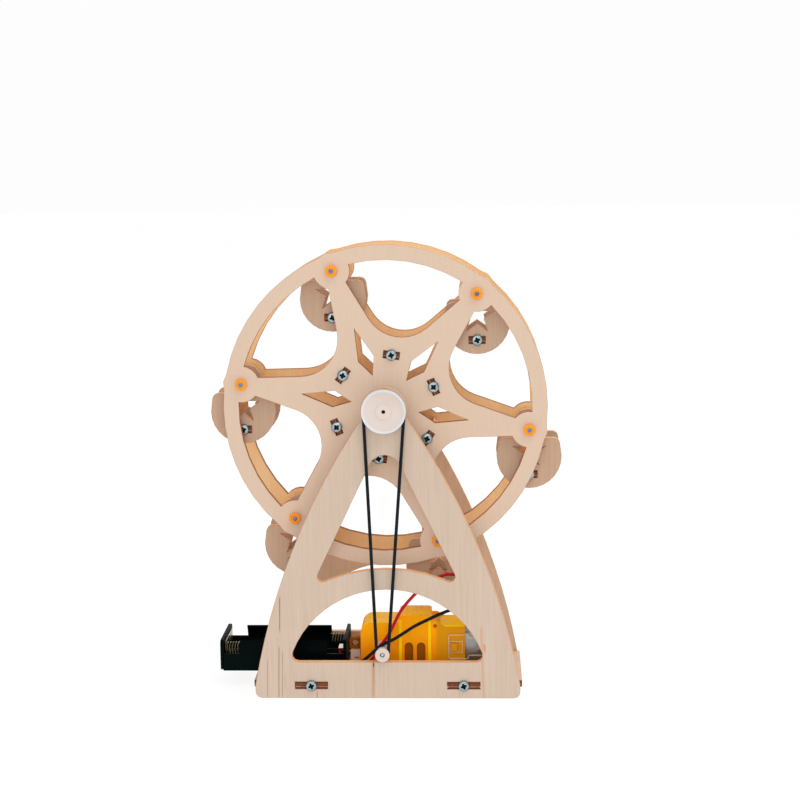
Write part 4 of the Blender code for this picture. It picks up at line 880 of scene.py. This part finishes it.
def build_driver():
    """The output shaft, the small pulley and the output gear."""
    place = Matrix.Translation((DRIVER_X, 0, DRIVER_Z)) @ FRONT
    profile = [(0, 30.2), (0.65, 30.2), (0.8, 30.05), (0.8, 17.5), (3.0, 17.5), (3.2, 17.3)]
    profile += [(3.2, 16.9), (3.0, 16.7), (2.7, 16.7), (2.7, -0.6), (0, -0.6)]
    kinds = [0, 0, 0] + [1] * 7
    turned(
        "output_shaft_turned", profile, 40, kinds, [STEEL, WHITE], place,
        "driver", "white_plastic", "output_shaft",
    )
    profile = [(1.1, 26.0), (1.1, 30.8), (1.25, 31.0), (2.9, 31.0)] + fillet((3.0, 30.7), 0.3, 90, 0)
    profile += [(3.3, 30.25), (2.0, 30.05), (1.55, 29.8), (1.55, 28.6), (2.0, 28.35), (3.0, 28.15)]
    profile += [(3.0, 27.5), (2.8, 27.3), (2.15, 27.3), (2.15, 26.15), (2.0, 26.0), (1.1, 26.0)]
    turned(
        "shaft_pulley_turned", profile, 48, (), [WHITE], place,
        "driver", "white_plastic", "shaft_pulley",
    )
    softened("output_gear", WHITE, "white_plastic", 0.12 * MM)


# Belt, leads and springs

def tube(name, points, thickness, material, closed=False, smooth=False):
    """A round tube along points, as a curve. Smooth bends it softly through them."""
    curve = bpy.data.curves.new(name, "CURVE")
    curve.dimensions = "3D"
    curve.bevel_depth = thickness / 2
    curve.bevel_resolution = 6
    curve.use_fill_caps = not closed
    curve.resolution_u = 8
    if smooth:
        spline = curve.splines.new("BEZIER")
        spline.bezier_points.add(len(points) - 1)
        padded = [2 * points[0] - points[1]] + points + [2 * points[-1] - points[-2]]
        for index, point in enumerate(spline.bezier_points):
            before, here, after = padded[index:index + 3]
            point.co = here
            point.handle_left_type = point.handle_right_type = "FREE"
            point.handle_left = here - (after - before) / 6
            point.handle_right = here + (after - before) / 6
    else:
        spline = curve.splines.new("POLY")
        spline.points.add(len(points) - 1)
        for point, place in zip(spline.points, points):
            point.co = (*place, 1)
    spline.use_cyclic_u = closed
    spline.use_smooth = True
    curve.materials.append(material)
    return curve


def build_belt():
    """The belt's line round the big and the small pulley."""
    top, bottom = Vector((0, AXLE_Z)), Vector((DRIVER_X, DRIVER_Z))
    span = top - bottom
    lean = math.degrees(math.asin((LARGE_BELT_RADIUS - SMALL_BELT_RADIUS) / span.length))
    up = math.degrees(math.atan2(span.y, span.x))
    line = fillet(top, LARGE_BELT_RADIUS, up - 90 - lean, up + 90 + lean, 48)
    line += fillet(bottom, SMALL_BELT_RADIUS, up + 90 + lean, up + 270 - lean, 24)
    points = [Vector((x, BELT_Y, z)) for x, z in line]
    belt = tube("drive_belt_loop", points, BELT_THICKNESS, RUBBER, closed=True)
    link("drive_belt_loop", belt, "base", "belt_rubber", "drive_belt")


RED_ROUTE = (
    (-23.4, -3.8, 16.8), (-23.4, -4.0, 14.9), (-23.4, -4.7, 13.0), (-23.4, -6.3, 11.5),
    (-23.4, -9.0, 10.9), (-23.3, -12.5, 10.7), (-22.3, -16.2, 10.6), (-19.3, -18.8, 10.7),
    (-15.5, -19.4, 11.3), (-11.8, -19.5, 12.9), (-8.4, -19.5, 15.3), (-6.2, -19.5, 18.0),
    (-4.1, -19.5, 22.0), (-1.3, -19.5, 25.5), (1.5, -19.5, 30.0), (3.6, -19.5, 34.3),
    (6.7, -19.5, 40.0), (12.4, -19.6, 46.8), (18.2, -19.7, 52.0), (24.4, -19.8, 55.6),
    (30.1, -19.7, 56.6), (36.5, -19.5, 54.4), (42.5, -19.2, 49.2), (47.2, -18.6, 43.4),
    (50.4, -16.8, 39.2), (52.0, -12.2, 37.6), (52.3, -8.2, 36.9), (52.3, -7.1, 35.4),
    (52.3, -7.0, 33.1),
)
BLACK_ROUTE = (
    (-19.0, 7.5, 11.0), (-19.0, 2.0, 11.0), (-19.0, -5.0, 11.0), (-18.95, -11.0, 11.4),
    (-18.0, -16.2, 12.4), (-15.5, -19.9, 13.8), (-11.9, -21.4, 15.8), (-8.1, -21.8, 19.0),
    (-4.5, -21.8, 22.3), (-0.9, -21.8, 24.6), (3.2, -21.8, 26.6), (8.0, -21.8, 29.7),
    (12.8, -21.8, 32.8), (18.4, -21.8, 35.6), (25.2, -21.8, 38.8), (31.6, -21.6, 40.8),
    (38.4, -21.2, 40.2), (44.6, -20.6, 35.6), (49.0, -20.0, 28.6), (51.2, -19.2, 21.0),
    (52.0, -17.6, 14.4), (52.2, -14.2, 11.8), (52.3, -11.4, 11.5), (52.3, -8.4, 11.5),
)
LEADS = (
    ("red_lead", RED_ROUTE, RED, "red_insulation", 0.1322),
    ("black_lead", BLACK_ROUTE, BLACK_SKIN, "black_insulation", 0.1316),
)


def build_leads():
    for node, route, material, slot, length in LEADS:
        points = [Vector(point) * MM for point in route]
        name = node + "_wire"
        curve = tube(name, points, LEAD_THICKNESS, material, smooth=True)
        lead = link(name, curve, "base", slot, node)


def build_springs():
    """Contact springs: a ground coil at the wall, then five open curls."""
    wire, ground_pitch, open_pitch = 0.6, 0.1, 1.29
    turns, steps, radius = 6, 28, 3.2 * MM
    for node, x, y, facing in (
        ("spring_front", -77.3, FRONT_CELL_Y, 1), ("spring_back", -22.2, BACK_CELL_Y, -1),
    ):
        points = []
        for index in range(turns * steps + 1):
            turn = index / steps
            angle = math.tau * turn
            climb = wire / 2 + ground_pitch * min(turn, 1) + open_pitch * max(turn - 1, 0)
            points.append(Vector((
                x * MM + facing * climb * MM,
                y * MM + facing * radius * math.sin(angle),
                CELL_Z * MM + radius * math.cos(angle),
            )))
        name = node + "_coil"
        link(name, tube(name, points, wire * MM, SPRING_WIRE), "base", "zinc", node)


# Motor, gearbox and battery holder

# Where the gearbox changes its look, in mm
UPPER_Z = 28
RIDGE_Y = -16.5
RIDGES_END_X = 21
EAR_END_X = -12.7
ARCHES_X = (9.6, 15.3)
ARCH_HALF = 2.1
ARCH_TOP_Z = 23.6
ARCH_FLOOR_Y = (-16.0, -15.4)


def gearbox_face(middle, normal):
    """1, the painted highlight, for the upper sides and the ridges up the tower's edges, 2, the
    painted shade, for the arches' floors and the ear, 0 for the rest."""
    if normal.z > 0.6 and middle.z > UPPER_Z:
        return 1
    if middle.y < RIDGE_Y and middle.x < RIDGES_END_X:
        return 1
    if middle.x < EAR_END_X:
        return 2
    in_arch = any(abs(middle.x - centre) < ARCH_HALF for centre in ARCHES_X)
    on_floor = ARCH_FLOOR_Y[0] < middle.y < ARCH_FLOOR_Y[1]
    return 2 if in_arch and on_floor and middle.z < ARCH_TOP_Z else 0


def build_motor():
    for node in ("gearbox_front", "gearbox_back"):
        softened(node, YELLOW, "gearbox_plastic", 0.28 * MM, (LIT_YELLOW, SHADED_AMBER), gearbox_face)
    softened("motor_can", CAN_STEEL, "steel", 0.3 * MM)
    softened("motor_end_cap", WHITE, "white_plastic", 0.25 * MM)
    build_strap()
    build_gearbox_details()
    softened("motor_tape", FOAM, "foam", 0.2 * MM)


def build_strap():
    """The clear strap, its outline a painted highlight for the light that gathers in its cut edges.
    """
    shape = cad_shape("motor_strap")
    rim(shape, ALONG_Y, STRAP_RIM)
    for face in shape.faces:
        at_edge = any(is_wall(other, ALONG_Y) for edge in face.edges for other in edge.link_faces)
        broad_end = abs(face.normal.x) > 0.9 and face.calc_area() > 20 * MM * MM
        face.material_index = 1 if at_edge and not broad_end else 0
    mesh = mesh_from(shape, "motor_strap_clear", [CLEAR, CLEAR_RIM_HIGHLIGHT])
    link("motor_strap_clear", mesh, "base", "clear_plastic", "motor_strap")


def build_gearbox_details():
    """The lid over the motor, the neck beside it, the grip bars on the tower, two ribs on the front
    face and a shallow pin hole whose dark floor is painted shade."""
    # The lid and the grip bars take index 1, the painted highlight
    blocks = [
        brick((22.3, -16.3, 30.7), (35.6, 2.3, 31.45), 1),
        brick((19.9, -16.5, 30.2), (24.0, 2.35, 32.7)),
    ]
    for row in range(3):
        y = -15.6 + 6.0 * row
        for column in range(5):
            x = 7.2 + 2.25 * column
            blocks.append(brick((x, y, 35.6), (x + 1.6, y + 4.8, 36.4), 1))
    blocks.append(brick((12.05, -16.75, 10.4), (12.85, -16.2, 22.0)))
    blocks.append(brick((22.3, -16.6, 12.0), (24.6, -16.2, 26.5)))
    mesh = rounded("gearbox_trim", joined(blocks), [YELLOW, LIT_YELLOW], 0.15 * MM)
    link("gearbox_trim", mesh, "base", "gearbox_plastic")

    # Painted shade: the pin hole's centre is dark red-orange, its rim the gearbox yellow
    profile = [(0, 0.02), (0.75, 0.02), (0.9, 0.06), (1.05, 0.05), (1.1, -0.1), (0, -0.1)]
    place = Matrix.Translation((21.9 * MM, -16.52 * MM, 31.3 * MM)) @ FRONT
    turned(
        "gearbox_pin_hole", profile, 32, [0, 0, 1, 1, 1], [HOLE_SHADE, YELLOW], place,
        "base", "gearbox_plastic",
    )


def holder_skirt(cell_y, side, start, end):
    """Fills the corner between a cell's round trough and the holder's flat side and bottom, from
    start to end along x. The side is -1 for the front and 1 for the back."""
    flat = cell_y + side * HOLDER_SIDE
    outline = [(flat, HOLDER_BOTTOM_Z), (flat, CELL_Z)]
    for y, z in fillet((0, 0), TROUGH_RADIUS, 0, 90, 10):
        outline.append((cell_y + side * y, CELL_Z - z))
    outline.append((cell_y, HOLDER_BOTTOM_Z))
    shape = bmesh.new()
    rows = [[shape.verts.new(Vector((x, y, z)) * MM) for y, z in outline] for x in (start, end)]
    for row in rows:
        shape.faces.new(row)
    for index in range(len(outline)):
        after = (index + 1) % len(outline)
        shape.faces.new((rows[0][index], rows[0][after], rows[1][after], rows[1][index]))
    bmesh.ops.recalc_face_normals(shape, faces=shape.faces)
    return shape


def build_holder():
    softened("battery_holder", BLACK, "black_plastic", 0.2 * MM)
    skirts = [
        holder_skirt(FRONT_CELL_Y, -1, -78.2, -25.4), holder_skirt(BACK_CELL_Y, 1, -78.2, -21.3),
    ]
    mesh = mesh_from(joined(skirts), "battery_holder_corners", [BLACK])
    link("battery_holder_corners", mesh, "base", "black_plastic")
    for node in ("contact_front", "contact_back", "contact_bridge"):
        softened(node, BRASS, "contact_metal", 0.08 * MM)


add_camera()
build_leads()
add_world()
build_floor()
build_wood()
build_bolts()
build_rods()
build_axle()
build_drive_pulley()
build_driver()
build_belt()
build_springs()
build_motor()
build_holder()
